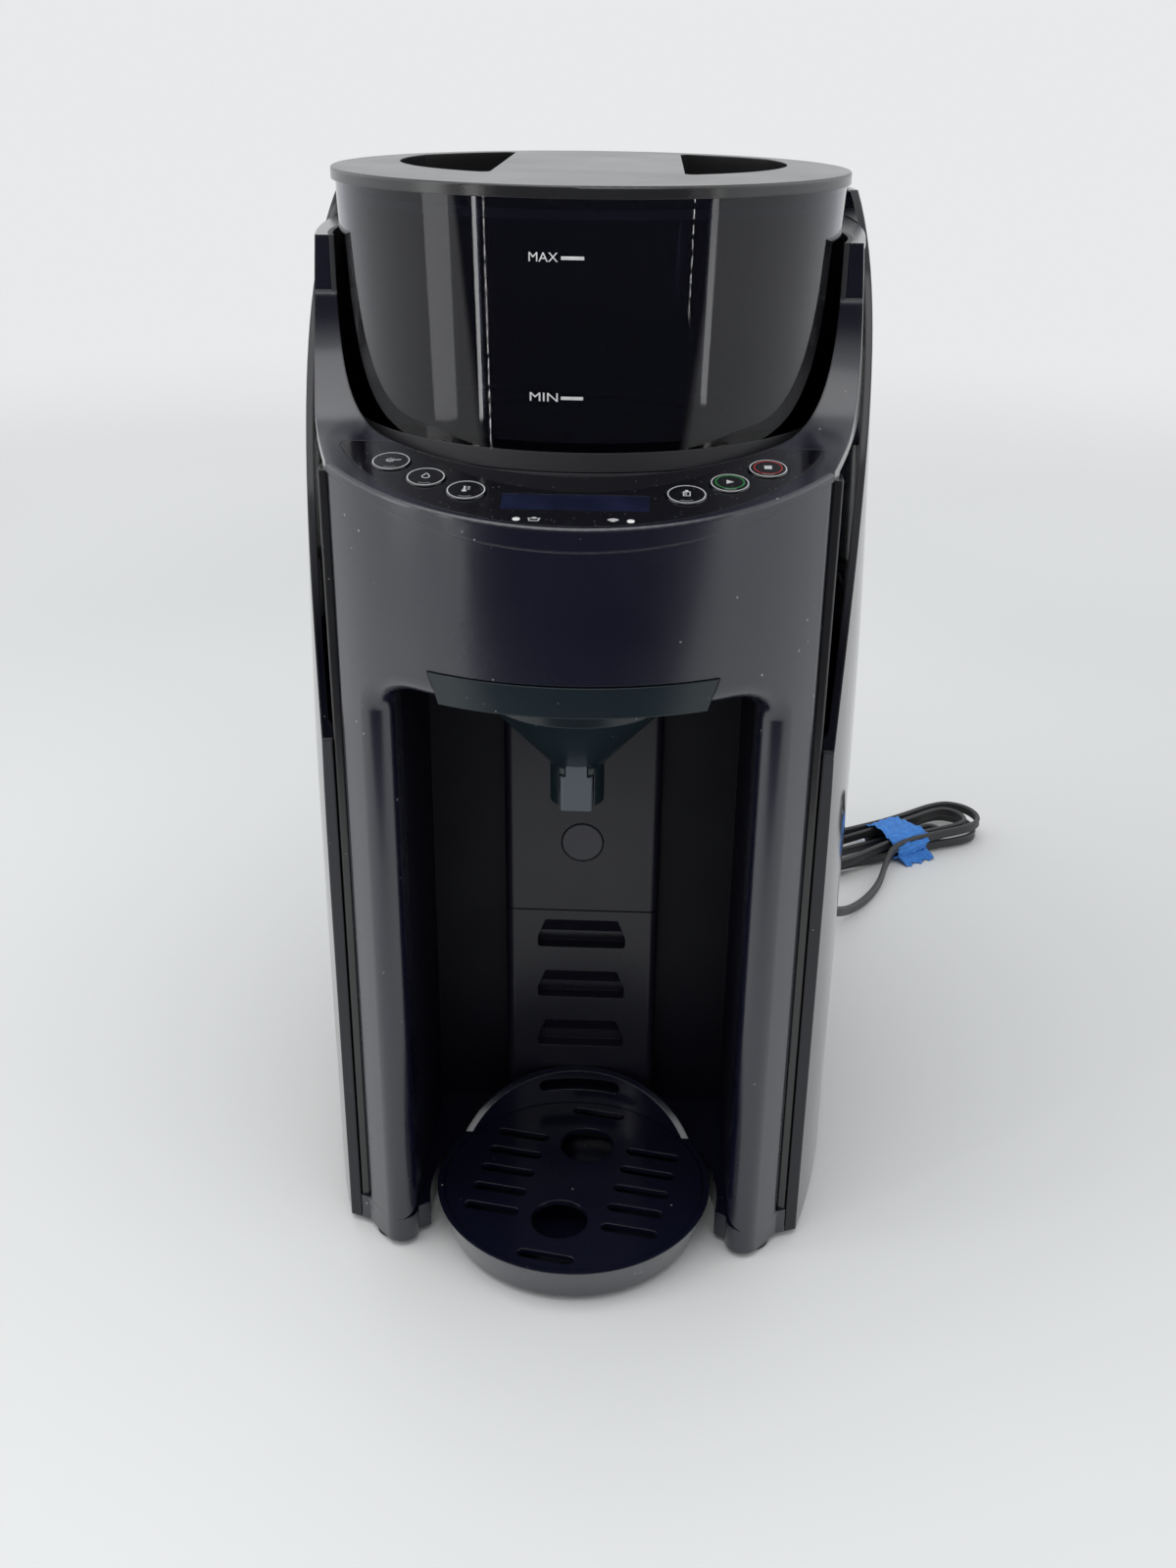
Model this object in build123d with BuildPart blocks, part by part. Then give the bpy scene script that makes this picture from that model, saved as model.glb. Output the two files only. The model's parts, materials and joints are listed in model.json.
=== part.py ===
from build123d import *
from math import acos, atan2, cos, degrees, pi, radians, sin, sqrt, tan
import os

# Baby formula maker: a powder container over a motor-driven dosing wheel, a mixing funnel in a bay
# for a bottle, a drip tray that hooks on at four heights, and a water tank with pump and heater behind.
# Millimetres, +X right, +Y to the back, +Z up. The origin is on the floor under the middle of the outline.

# ---------------------------------------------------------------- plan of the body
face_radius = 109.0
face_front_y = -162.0
face_half_width = 88.0
corner_x = 97.0
corner_y = -114.0
widest_x = 115.6
widest_y = -20.0
rear_join_x = 112.0
rear_join_y = 70.0
rear_y = 166.0
face_centre_y = face_front_y + face_radius
face_side_y = face_centre_y - sqrt(face_radius**2 - face_half_width**2)

# ---------------------------------------------------------------- heights
foot_height = 3.0
base_top_z = 15.0
bay_top_z = 261.0
seam_centre_z = 319.0
deck_bottom_z = 333.0
deck_thickness = 2.5
shoulder_top_z = 405.0
shell_top_z = 416.0
container_top_z = 424.0
lid_thickness = 4.0
deck_top_z = deck_bottom_z + deck_thickness
seam_side_z = deck_bottom_z

# ---------------------------------------------------------------- walls and fits
shell_wall = 3.0
moulding_wall = 2.5
seam_gap = 0.4
lift_gap = 0.5
rest_gap = 0.3
run_fit = 0.05
screw_fit = 0.05
far = 500.0
cut_margin = 5.0
pick_tolerance = 1.0

# ---------------------------------------------------------------- front view of the side shells
lean_start_z = 169.0
lean_depth = 8.9

# ---------------------------------------------------------------- side view of the side shells
shell_rear_y = 95.0
shell_sweep_lead = 0.0
shell_sweep_start_drop = 186.0
shell_sweep_middle_y = -70.0
shell_sweep_middle_drop = 91.0
shell_sweep_end_y = 35.0
rib_height = 3.0
rib_low_z = 90.0
rib_high_z = 250.0
rib_half_length = 40.0

# ---------------------------------------------------------------- base, feet and screws
base_floor_thickness = 4.0
base_rim_width = 5.0
foot_radius = 8.0
foot_stud_radius = 3.5
foot_stud_length = 5.0
foot_chamfer = 0.8
foot_recess_gap = 1.0
front_foot_x = 77.0
front_foot_y = -118.0
rear_foot_x = 72.0
rear_foot_y = 108.0
toe_notch_y = -122.0
toe_notch_back_y = -115.0
toe_notch_half_width = 56.0
screw_shank_radius = 1.7
screw_head_radius = 3.6
screw_head_height = 2.4
screw_length = 16.0
screw_slot_width = 0.9
screw_slot_depth = 1.2
boss_radius = 5.0
boss_height = 24.0
boss_tip = 2.0
boss_overlap = 0.5
liner_boss_y = -70.0
rear_boss_x = 62.0
rear_boss_y = 132.0
rear_boss_rib = 11.0

# ---------------------------------------------------------------- bottle bay
bay_half_width = 66.0
bay_corner_radius = 12.0
leg_edge_radius = 7.2
bay_wall_y = -39.0
column_front_y = -47.0
column_half_width = 33.9
column_edge_radius = 4.0
column_joint_z = 120.6
sensor_z = 154.6
sensor_radius = 8.9
sensor_proud = 0.3
sensor_board_width = 30.0
sensor_board_height = 24.0
sensor_diode_width = 7.0
sensor_diode_height = 9.0
sensor_diode_depth = 2.5
sensor_diode_x = 7.0
scoop_sill_z = 22.4
scoop_pitch = 26.4
scoop_count = 4
scoop_half_width = 19.5
scoop_top_half_width = 16.0
scoop_height = 14.0
scoop_lip = 5.0
scoop_depth = 6.5
scoop_edge_radius = 1.5
leg_back_y = -112.0
frame_thickness = 3.7
frame_front_y = -115.5
frame_rear_y = 60.0

# ---------------------------------------------------------------- drip tray and grate
dispense_y = -106.6
tray_radius = 59.2
tray_foot_radius = 53.5
tray_bottom_z = 2.0
tray_rim_z = 20.0
tray_back_z = 38.0
tray_ramp_y = -76.0
tray_wall = 2.2
tongue_half_width = 18.0
tongue_thickness = 3.2
tray_cutout_radius = 62.5
tray_ledge_z = 16.6
tray_ledge = 1.6
tray_floor = 2.2
tray_edge_radius = 3.0
tray_ramp_middle = (-60.0, 31.5)
tray_slot_half_width = 18.5
tray_slot_low_z = 26.4
tray_slot_height = 6.0
grate_gap = 0.3
grate_thickness = 2.4
grate_top_z = 19.0
grate_turn = -11.0
finger_hole_radius = 12.0
finger_hole_offset = 25.6
slot_length = 24.0
slot_width = 4.8
slot_row_offset = 30.0
slot_pitch = 12.8
slot_rows = 5
end_slot_offset = 49.0

# ---------------------------------------------------------------- control panel
panel_slope = 12.0
panel_front_z = 326.8
panel_edge_offset = 1.8
panel_outer_radius = 91.5
panel_inner_radius = 102.6
panel_inner_offset = 38.2
panel_end_radius = 5.0
fascia_thickness = 1.2
panel_floor = 2.0
button_radius = 6.9
button_rise = 0.6
button_travel = 0.8
button_flange_radius = 7.7
button_flange_thickness = 1.2
button_flange_gap = 0.2
button_edge_radius = 0.5
button_stem_radius = 2.0
button_places = [(-65.2, 46.5), (-51.7, 34.8), (-37.0, 25.6), (37.0, 25.6), (51.7, 34.8), (65.2, 46.5)]
button_names = ["powder", "water", "heat", "volume", "start", "stop"]
display_half_width = 24.6
display_low = 13.5
display_high = 24.6
display_rebate = 1.0
lamp_x = 18.7
lamp_offset = 6.6
lamp_radius = 1.3
board_depth = 8.0
board_thickness = 1.6
switch_size = 5.0
switch_height = 1.7
ear_start_y = -100.0
ear_top_y = -58.0
ear_top_z = 386.0
ear_middle_y = -71.0
ear_middle_z = 356.0
bezel_lip_radius = 1.4
bezel_post_places = [(-42.0, 41.0), (-29.5, 14.5), (29.5, 14.5), (42.0, 41.0)]
bezel_post_radius = 2.8
board_inset = 6.0
panel_clearance = 0.15

# ---------------------------------------------------------------- powder container, lid and wheels
container_y = -32.0
well_radius = 95.8
well_wall = 1.8
shoulder_depth = 58.0
container_base_radius = 91.0
container_top_radius = 94.0
container_wall = 2.5
container_floor = 3.0
base_plate_thickness = 2.1
lid_radius = 95.5
lid_edge_radius = 0.8
lid_skirt_height = 8.0
lid_skirt_wall = 1.8
gasket_height = 3.0
gasket_thickness = 1.0
gasket_lift = 1.5
recess_radius = 74.0
recess_shift = 25.0
recess_rim = 9.0
recess_depth = 10.0
recess_corner_radius = 3.0
bridge_half_width = 34.0
wheel_radius = 86.0
wheel_thickness = 4.0
wheel_pocket_radius = 9.5
wheel_pockets = 8
shaft_radius = 4.0
wheel_hub_radius = 11.0
paddle_arms = 3
paddle_arm_width = 6.0
paddle_arm_height = 5.0
paddle_hub_height = 14.0
paddle_hub_round = 2.0
dog_length = 14.0
dog_width = 5.0
dog_fit = 0.3
dog_pocket_depth = 3.0
dog_swing_gap = 1.0
turn_gap = 0.1
paddle_wall_gap = 3.0

# ---------------------------------------------------------------- wheel drive
gear_module = 1.5
gear_teeth = 40
pinion_teeth = 12
gear_thickness = 8.0
tooth_share = 0.40
tooth_addendum = 1.0
tooth_dedendum = 1.25
flank_slope = 0.3
gear_hub_radius = 9.0
gear_hub_height = 4.9
motor_bore_depth = 14.0
post_x = 38.0
post_front_y = -66.0
post_rear_y = 24.0
bracket_margin = 7.0
mesh_slack = 0.35
bracket_drop = 19.0
bracket_thickness = 3.0
bracket_corner_radius = 6.0
post_radius = 4.0
motor_radius = 16.0
motor_length = 44.0
motor_chamfer = 1.5
motor_shaft_radius = 2.0

# ---------------------------------------------------------------- funnel, chute and spray head
drawer_top_z = 272.0
drawer_top_half_width = 50.1
drawer_bottom_half_width = 46.5
drawer_proud = 0.6
drawer_plate = 3.2
drawer_slab_half_width = 43.0
drawer_slab_z = 263.8
rail_half_gap = 40.0
drawer_slab = 3.4
drawer_back_y = -66.0
drawer_hole_radius = 31.0
bowl_radius = 36.0
bowl_wall = 2.0
bowl_rim_z = 249.0
spout_radius = 10.4
spout_top_z = 221.0
spout_bottom_z = 205.2
nozzle_half_width = 6.2
nozzle_bottom_z = 203.8
nozzle_top_z = 218.0
nozzle_bore = 4.2
nozzle_tongue_half_width = 4.0
nozzle_tongue_z = 223.0
chute_radius = 11.0
chute_wall = 2.0
chute_bottom_z = 268.0
spray_radius = 20.0
spray_height = 8.0
hose_port_radius = 4.0
port_length = 8.0
port_inset = 1.0
hose_radius = 3.0
hose_bend = 12.0
nozzle_front = 10.2
nozzle_back = 5.5
nozzle_collar = 4.0
nozzle_edge_radius = 1.5

# ---------------------------------------------------------------- water tank, pump and heater
tank_front_y = 72.5
tank_side_inset = 3.8
tank_rear_inset = 3.2
tank_step_y = 96.0
tank_bottom_z = 238.0
tank_top_z = 408.0
tank_wall = 2.2
tank_floor = 2.5
shelf_thickness = 3.7
shelf_rebate = 1.5
tank_lid_thickness = 3.0
outlet_y = 118.0
outlet_radius = 7.0
outlet_wall = 3.0
outlet_drop = 8.0
valve_radius = 9.0
valve_lift = 3.0
valve_thickness = 2.2
valve_stem_radius = 2.0
valve_edge_radius = 0.8
guide_radius = 4.0
guide_height = 2.0
guide_lift = 1.0
guide_arm = 3.0
hinge_y = 79.0
hinge_pin_radius = 1.5
hinge_lug_radius = 3.4
hinge_lug_width = 8.0
hinge_lug_x = 58.0
hinge_barrel_width = 12.0
socket_radius = 13.5
socket_depth = 12.0
socket_floor = 2.5
port_stub = 6.0
pump_x = -46.0
pump_y = 96.0
pump_radius = 18.0
pump_length = 54.0
pump_base_height = 8.0
pump_base_inset = 2.0
pump_chamfer = 2.0
heater_x = 40.0
heater_y = 96.0
heater_radius = 25.0
heater_top_z = 150.0
heater_neck_radius = 5.0
heater_neck = 8.0
heater_port_z = 90.0
heater_cap = 6.0
pump_inlet_y = 118.0
pump_outlet_y = 78.0
hose_low_z = 150.0
hose_high_z = 190.0
hose_side_y = 40.0
power_board_y = 146.0
power_board_half_width = 32.0
power_board_height = 84.0
relay_places = [(-14.0, 60.0), (12.0, 58.0)]
relay_width = 18.0
relay_height = 22.0
transformer_place = (10.0, 22.0)
transformer_width = 30.0
transformer_height = 24.0
component_depth = 12.0

# ---------------------------------------------------------------- power cord
cord_radius = 3.0
bend_share = 0.45
gland_x = 95.0
gland_z = 22.0
gland_flange_radius = 8.0
gland_neck_radius = 5.5
relief_length = 26.0
relief_root_radius = 5.0
relief_tip_radius = 3.5
gland_flange = 2.5
lead_points = [(137.0, 141.6, 17.0), (150.0, 162.0, 6.0), (163.0, 181.0, 3.0), (174.0, 202.0, 3.5)]
lead_end = (180.5, 224.0, 7.0)
plug_points = [(176.0, 262.0, 8.0), (153.0, 272.0, 4.0), (128.0, 274.0, 3.0), (103.0, 268.0, 3.6)]
hank_centre = (193.0, 254.0)
hank_angle = 32.0
hank_length = 150.0
hank_width = 44.0
hank_height = 15.0
tie_width = 27.0
tie_shift = 9.0
tie_thickness = 0.8
hank_round = 5.0
plug_centre = (58.0, 252.0)
plug_angle = 18.0
plug_round = 4.0
plug_length = 34.0
plug_width = 24.0
plug_height = 16.0
plug_lead = 12.0
blade_length = 16.0
blade_width = 6.4
blade_thickness = 1.5
blade_spacing = 12.7

os.makedirs("parts", exist_ok=True)


# ---------------------------------------------------------------- shared outlines
def plan_outline(inset):
    """Outline of the whole body seen from above, moved inward by inset."""
    with BuildSketch() as outline:
        with BuildLine():
            ThreePointArc((-face_half_width, face_side_y), (0, face_front_y), (face_half_width, face_side_y))
            Line((face_half_width, face_side_y), (corner_x, corner_y))
            ThreePointArc((corner_x, corner_y), (widest_x, widest_y), (rear_join_x, rear_join_y))
            ThreePointArc((rear_join_x, rear_join_y), (0, rear_y), (-rear_join_x, rear_join_y))
            ThreePointArc((-rear_join_x, rear_join_y), (-widest_x, widest_y), (-corner_x, corner_y))
            Line((-corner_x, corner_y), (-face_half_width, face_side_y))
        make_face()
        if inset:
            offset(amount=-inset, kind=Kind.INTERSECTION)
    return outline.sketch


side_arc = ThreePointArc((corner_x, corner_y), (widest_x, widest_y), (rear_join_x, rear_join_y))
side_centre_x, side_centre_y = side_arc.arc_center.X, side_arc.arc_center.Y
side_radius = side_arc.radius


def side_x(y, inset):
    """Half width of the body at a distance back, moved inward by inset."""
    return side_centre_x + sqrt((side_radius - inset) ** 2 - (y - side_centre_y) ** 2)


def leaning_side(side, inset):
    """Round form about one side arc's centre: upright, then bending inward towards the top."""
    reach = side_radius - inset
    axis = Axis((side * side_centre_x, side_centre_y, 0), (0, 0, 1))
    with BuildPart() as form:
        with BuildSketch(Plane(origin=axis.position, x_dir=(side, 0, 0), z_dir=(0, -side, 0))):
            with BuildLine():
                Polyline((0, shell_top_z), (0, 0), (reach, 0), (reach, lean_start_z))
                TangentArc((reach, lean_start_z), (reach - lean_depth, shell_top_z), tangent=(0, 1))
                Line((reach - lean_depth, shell_top_z), (0, shell_top_z))
            make_face()
        revolve(axis=axis)
    return form.part


def lean_form(inset):
    """Everything between the two leaning sides."""
    return leaning_side(-1, inset) & leaning_side(1, inset)


def envelope(inset, bottom, top):
    """The body's outer form between two heights, moved inward by inset."""
    with BuildPart() as form:
        with BuildSketch(Plane.XY.offset(bottom)):
            add(plan_outline(inset))
        extrude(amount=top - bottom)
        if top > lean_start_z:
            add(lean_form(inset), mode=Mode.INTERSECT)
    return form.part


def slab(low, high):
    """A plain box between two corners, used to cut and to keep regions."""
    size = [high[i] - low[i] for i in range(3)]
    return Pos(*low) * Box(*size, align=(Align.MIN, Align.MIN, Align.MIN), mode=Mode.PRIVATE)


def save(piece, name):
    piece.label = name
    export_step(piece, f"parts/{name}.step")


frame_outer_x = face_half_width + frame_thickness
shell_inner_x = frame_outer_x + seam_gap
seam_radius = (face_half_width**2 + (seam_side_z - seam_centre_z) ** 2) / (2 * (seam_side_z - seam_centre_z))


def head_region(low_half_width, high_z):
    """Front view of what lies above the seam between the head and its control bezel."""
    reach = low_half_width
    rise = seam_radius - sqrt(seam_radius**2 - face_half_width**2)
    with BuildSketch() as region:
        with BuildLine():
            ThreePointArc(
                (-face_half_width, seam_centre_z + rise), (0, seam_centre_z), (face_half_width, seam_centre_z + rise)
            )
            Polyline(
                (face_half_width, seam_centre_z + rise),
                (reach, seam_centre_z + rise),
                (reach, high_z),
                (-reach, high_z),
                (-reach, seam_centre_z + rise),
                (-face_half_width, seam_centre_z + rise),
            )
        make_face()
    return region.sketch


def bay_arch(grow):
    """Front view of the bottle bay's opening."""
    with BuildSketch() as arch:
        with Locations((0, (bay_top_z + grow) / 2)):
            Rectangle(2 * (bay_half_width + grow), bay_top_z + grow)
        fillet(arch.vertices().group_by(Axis.Y)[-1], bay_corner_radius + grow)
    return arch.sketch


def drawer_front(grow):
    """Front view of the funnel drawer's plate, wider at the top."""
    with BuildSketch() as plate:
        with BuildLine():
            Polyline(
                (-drawer_top_half_width - grow, drawer_top_z + grow),
                (drawer_top_half_width + grow, drawer_top_z + grow),
                (drawer_bottom_half_width + grow, bay_top_z - grow),
                (-drawer_bottom_half_width - grow, bay_top_z - grow),
                close=True,
            )
        make_face()
    return plate.sketch


# ---------------------------------------------------------------- base, feet and screws
foot_places = [
    (-front_foot_x, front_foot_y),
    (front_foot_x, front_foot_y),
    (-rear_foot_x, rear_foot_y),
    (rear_foot_x, rear_foot_y),
]
liner_boss_x = bay_half_width + moulding_wall + boss_radius - boss_overlap
screw_places = [
    (-liner_boss_x, liner_boss_y),
    (liner_boss_x, liner_boss_y),
    (-rear_boss_x, rear_boss_y),
    (rear_boss_x, rear_boss_y),
]
base_plate_z = base_top_z - base_floor_thickness

with BuildSketch() as tray_cutout:
    with BuildLine():
        Polyline(
            (-bay_half_width, face_front_y - cut_margin),
            (bay_half_width, face_front_y - cut_margin),
            (bay_half_width, toe_notch_y),
            (toe_notch_half_width, toe_notch_back_y),
            (-toe_notch_half_width, toe_notch_back_y),
            (-bay_half_width, toe_notch_y),
            close=True,
        )
    make_face()
    with Locations((0, dispense_y)):
        Circle(tray_cutout_radius)
    with Locations((0, column_front_y - lift_gap)):
        Rectangle(far, far, align=(Align.CENTER, Align.MIN), mode=Mode.SUBTRACT)

leg_tip_y = face_centre_y - sqrt(face_radius**2 - bay_half_width**2)
leg_corner = acos(bay_half_width / face_radius)
toe_edge_radius = min(leg_edge_radius, (toe_notch_y - shell_wall - leg_tip_y) * tan(leg_corner / 2))

with BuildPart() as base:
    add(envelope(shell_wall + seam_gap, foot_height, base_top_z))
    add(envelope(0, foot_height, base_top_z) & slab((-frame_outer_x, -far, 0), (frame_outer_x, leg_back_y, far)))
    with BuildSketch(Plane.XY.offset(foot_height)):
        add(tray_cutout.sketch)
    extrude(amount=base_top_z, mode=Mode.SUBTRACT)
    toe_edges = [
        e
        for e in base.edges().filter_by(Axis.Z)
        if abs(abs(e.center().X) - bay_half_width) < pick_tolerance and e.center().Y < toe_notch_y - pick_tolerance
    ]
    fillet(toe_edges, toe_edge_radius)
    with BuildSketch(Plane.XY.offset(foot_height)):
        add(plan_outline(shell_wall + seam_gap + base_rim_width))
        add(offset(tray_cutout.sketch, base_rim_width, mode=Mode.PRIVATE), mode=Mode.SUBTRACT)
        with Locations((0, leg_back_y)):
            Rectangle(far, far, align=(Align.CENTER, Align.MAX), mode=Mode.SUBTRACT)
        with Locations(*foot_places):
            Circle(foot_radius + foot_recess_gap, mode=Mode.SUBTRACT)
    extrude(amount=base_plate_z - foot_height, mode=Mode.SUBTRACT)
    with Locations(*[Location((x, y, foot_height)) for x, y in foot_places]):
        Cylinder(
            foot_stud_radius + run_fit,
            foot_stud_length + run_fit,
            align=(Align.CENTER, Align.CENTER, Align.MIN),
            mode=Mode.SUBTRACT,
        )
    with Locations(*[Location((x, y, base_top_z)) for x, y in screw_places]):
        Hole(screw_shank_radius + rest_gap, depth=base_floor_thickness)
save(base.part, "base")

with BuildPart() as rubber_feet:
    with BuildSketch():
        with Locations(*foot_places):
            Circle(foot_radius)
    extrude(amount=foot_height)
    with BuildSketch(Plane.XY.offset(foot_height)):
        with Locations(*foot_places):
            Circle(foot_stud_radius)
    extrude(amount=foot_stud_length)
    chamfer(rubber_feet.edges().group_by(Axis.Z)[0], foot_chamfer)
save(rubber_feet.part, "rubber_feet")

with BuildPart() as base_screws:
    with BuildSketch(Plane.XY.offset(base_plate_z - screw_head_height)):
        with Locations(*screw_places):
            Circle(screw_head_radius)
    extrude(amount=screw_head_height)
    with BuildSketch(Plane.XY.offset(base_plate_z)):
        with Locations(*screw_places):
            Circle(screw_shank_radius)
    extrude(amount=screw_length)
    with BuildSketch(Plane.XY.offset(base_plate_z - screw_head_height)):
        with Locations(*screw_places):
            Rectangle(screw_head_radius, screw_slot_width)
            Rectangle(screw_slot_width, screw_head_radius)
    extrude(amount=screw_slot_depth, mode=Mode.SUBTRACT)
save(base_screws.part, "base_screws")


# ---------------------------------------------------------------- front housing: face and two legs
def bay_front_edges(housing, grow):
    """The edges round the bay's opening where the curved face turns into the bay."""
    corner_z = bay_top_z + grow - bay_corner_radius / 2
    return [
        e
        for e in housing.edges()
        if e.center().Y < leg_back_y - leg_edge_radius / 2
        and (
            (abs(abs(e.center().X) - bay_half_width - grow) < pick_tolerance and e.center().Z < corner_z)
            or abs(e.center().Z - corner_z) < bay_corner_radius / 2 + pick_tolerance
        )
    ]


with BuildPart() as front_hollow:
    with BuildSketch(Plane.XY):
        with Locations((0, face_centre_y)):
            Circle(face_radius - shell_wall)
        with Locations((0, leg_back_y)):
            Rectangle(far, far, align=(Align.CENTER, Align.MIN), mode=Mode.SUBTRACT)
        with Locations((0, face_centre_y)):
            Rectangle(2 * (face_half_width - shell_wall), far, mode=Mode.INTERSECT)
    extrude(amount=far)
    with BuildSketch(Plane.XZ):
        add(bay_arch(shell_wall))
    extrude(amount=far, both=True, mode=Mode.SUBTRACT)
    fillet(bay_front_edges(front_hollow, shell_wall), leg_edge_radius - shell_wall)

with BuildPart() as front_housing:
    with BuildSketch(Plane.XY.offset(base_top_z)):
        with Locations((0, face_centre_y)):
            Circle(face_radius)
        with Locations((0, leg_back_y)):
            Rectangle(far, far, align=(Align.CENTER, Align.MIN), mode=Mode.SUBTRACT)
        with Locations((0, face_centre_y)):
            Rectangle(2 * face_half_width, far, mode=Mode.INTERSECT)
    extrude(amount=far - base_top_z)
    with BuildSketch(Plane.XZ):
        add(bay_arch(0))
    extrude(amount=far, both=True, mode=Mode.SUBTRACT)
    fillet(bay_front_edges(front_housing, 0), leg_edge_radius)
    add(front_hollow.part, mode=Mode.SUBTRACT)
    with BuildSketch(Plane.XZ):
        add(head_region(far / 2, far + cut_margin))
    extrude(amount=far, both=True, mode=Mode.SUBTRACT)
    with BuildSketch(Plane.XZ):
        add(drawer_front(seam_gap))
    extrude(amount=far, both=True, mode=Mode.SUBTRACT)
save(front_housing.part, "front_housing")


# ---------------------------------------------------------------- side frames behind the legs
def side_frame(side):
    """Upright chassis plate whose front edge shows beside the leg."""
    with BuildPart() as plate:
        with BuildSketch(Plane.YZ.offset(side * (face_half_width + frame_thickness / 2))):
            with Locations(((frame_front_y + frame_rear_y) / 2, (base_top_z + deck_bottom_z) / 2)):
                Rectangle(frame_rear_y - frame_front_y, deck_bottom_z - base_top_z)
        extrude(amount=frame_thickness / 2, both=True)
        front_edges = plate.edges().filter_by(Axis.Z).group_by(Axis.Y)[0]
        fillet(front_edges, frame_thickness / 4)
    return plate.part


for side, hand in ((-1, "left"), (1, "right")):
    save(side_frame(side), f"side_frame_{hand}")

# ---------------------------------------------------------------- bay liner with its screw bosses
liner_back_y = bay_wall_y + moulding_wall
with BuildPart() as bay_liner:
    with BuildSketch(Plane.XY.offset(base_top_z)):
        with Locations((0, leg_back_y)):
            Rectangle(
                2 * (bay_half_width + moulding_wall), liner_back_y - leg_back_y, align=(Align.CENTER, Align.MIN)
            )
        with Locations((0, leg_back_y)):
            Rectangle(
                2 * bay_half_width,
                bay_wall_y - leg_back_y,
                align=(Align.CENTER, Align.MIN),
                mode=Mode.SUBTRACT,
            )
    extrude(amount=bay_top_z - base_top_z)
    with BuildSketch(Plane.XY.offset(bay_top_z)):
        with Locations((0, leg_back_y)):
            Rectangle(
                2 * (bay_half_width + moulding_wall), liner_back_y - leg_back_y, align=(Align.CENTER, Align.MIN)
            )
            Rectangle(
                2 * rail_half_gap,
                drawer_back_y + 2 * lift_gap - leg_back_y,
                align=(Align.CENTER, Align.MIN),
                mode=Mode.SUBTRACT,
            )
    extrude(amount=moulding_wall)
    with BuildSketch(Plane.XY.offset(base_top_z)):
        with Locations(*screw_places[:2]):
            Circle(boss_radius)
        with Locations((0, leg_back_y)):
            Rectangle(
                2 * bay_half_width + moulding_wall,
                bay_wall_y - leg_back_y,
                align=(Align.CENTER, Align.MIN),
                mode=Mode.SUBTRACT,
            )
    extrude(amount=boss_height)
    with Locations(*[Location((x, y, base_top_z), (180, 0, 0)) for x, y in screw_places[:2]]):
        Hole(screw_shank_radius + screw_fit, depth=boss_height - boss_tip)
save(bay_liner.part, "bay_liner")


# ---------------------------------------------------------------- column with tray scoops and sensor window
def column_block(low_z, high_z):
    """One piece of the pale column up the bay's back wall, with rounded front edges."""
    with BuildPart() as block:
        with BuildSketch(Plane.XY.offset(low_z)):
            with Locations((0, column_front_y)):
                Rectangle(2 * column_half_width, bay_wall_y - column_front_y, align=(Align.CENTER, Align.MIN))
        extrude(amount=high_z - low_z)
        fillet(block.edges().filter_by(Axis.Z).group_by(Axis.Y)[0], column_edge_radius)
    return block.part


with BuildPart() as scoops:
    for step in range(scoop_count):
        sill = scoop_sill_z + step * scoop_pitch
        with BuildSketch(Plane.XZ.offset(-column_front_y)):
            with BuildLine():
                Polyline(
                    (-scoop_half_width, sill),
                    (scoop_half_width, sill),
                    (scoop_half_width, sill + scoop_lip),
                    (scoop_top_half_width, sill + scoop_height),
                    (-scoop_top_half_width, sill + scoop_height),
                    (-scoop_half_width, sill + scoop_lip),
                    close=True,
                )
            make_face()
        extrude(amount=-scoop_depth)
    with BuildSketch(Plane.YZ):
        for step in range(scoop_count):
            sill = scoop_sill_z + step * scoop_pitch
            with BuildLine():
                Polyline(
                    (column_front_y, sill),
                    (column_front_y + scoop_depth, sill),
                    (column_front_y + scoop_depth, sill + scoop_lip),
                    (column_front_y, sill + scoop_height),
                    close=True,
                )
            make_face()
    extrude(amount=scoop_half_width, both=True, mode=Mode.INTERSECT)
    fillet(scoops.edges().filter_by(Axis.Y), scoop_edge_radius)

with BuildPart() as column_lower:
    add(column_block(base_top_z, column_joint_z - seam_gap / 2))
    add(scoops.part, mode=Mode.SUBTRACT)
save(column_lower.part, "column_lower")

with BuildPart() as column_upper:
    add(column_block(column_joint_z + seam_gap / 2, bay_top_z))
    with Locations(Location((0, column_front_y, sensor_z), (90, 0, 0))):
        Hole(sensor_radius + rest_gap, depth=bay_wall_y - column_front_y)
save(column_upper.part, "column_upper")

with BuildPart() as sensor_window:
    with BuildSketch(Plane.XZ.offset(sensor_proud - column_front_y)):
        with Locations((0, sensor_z)):
            Circle(sensor_radius)
    extrude(amount=column_front_y - bay_wall_y - sensor_proud)
    chamfer(sensor_window.edges().group_by(Axis.Y)[0], sensor_proud)
save(sensor_window.part, "sensor_window")

with BuildPart() as sensor_board:
    with BuildSketch(Plane.XZ.offset(-liner_back_y)):
        with Locations((0, sensor_z)):
            Rectangle(sensor_board_width, sensor_board_height)
    extrude(amount=-board_thickness)
    with BuildSketch(Plane.XZ.offset(-liner_back_y - board_thickness)):
        with Locations((-sensor_diode_x, sensor_z), (sensor_diode_x, sensor_z)):
            Rectangle(sensor_diode_width, sensor_diode_height)
    extrude(amount=-sensor_diode_depth)
save(sensor_board.part, "sensor_board")


# ---------------------------------------------------------------- gloss side shells
shell_sweep_start = (corner_y - shell_sweep_lead, shell_top_z - shell_sweep_start_drop)
shell_sweep_middle = (shell_sweep_middle_y, shell_top_z - shell_sweep_middle_drop)
shell_sweep_end = (shell_sweep_end_y, shell_top_z)


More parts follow.
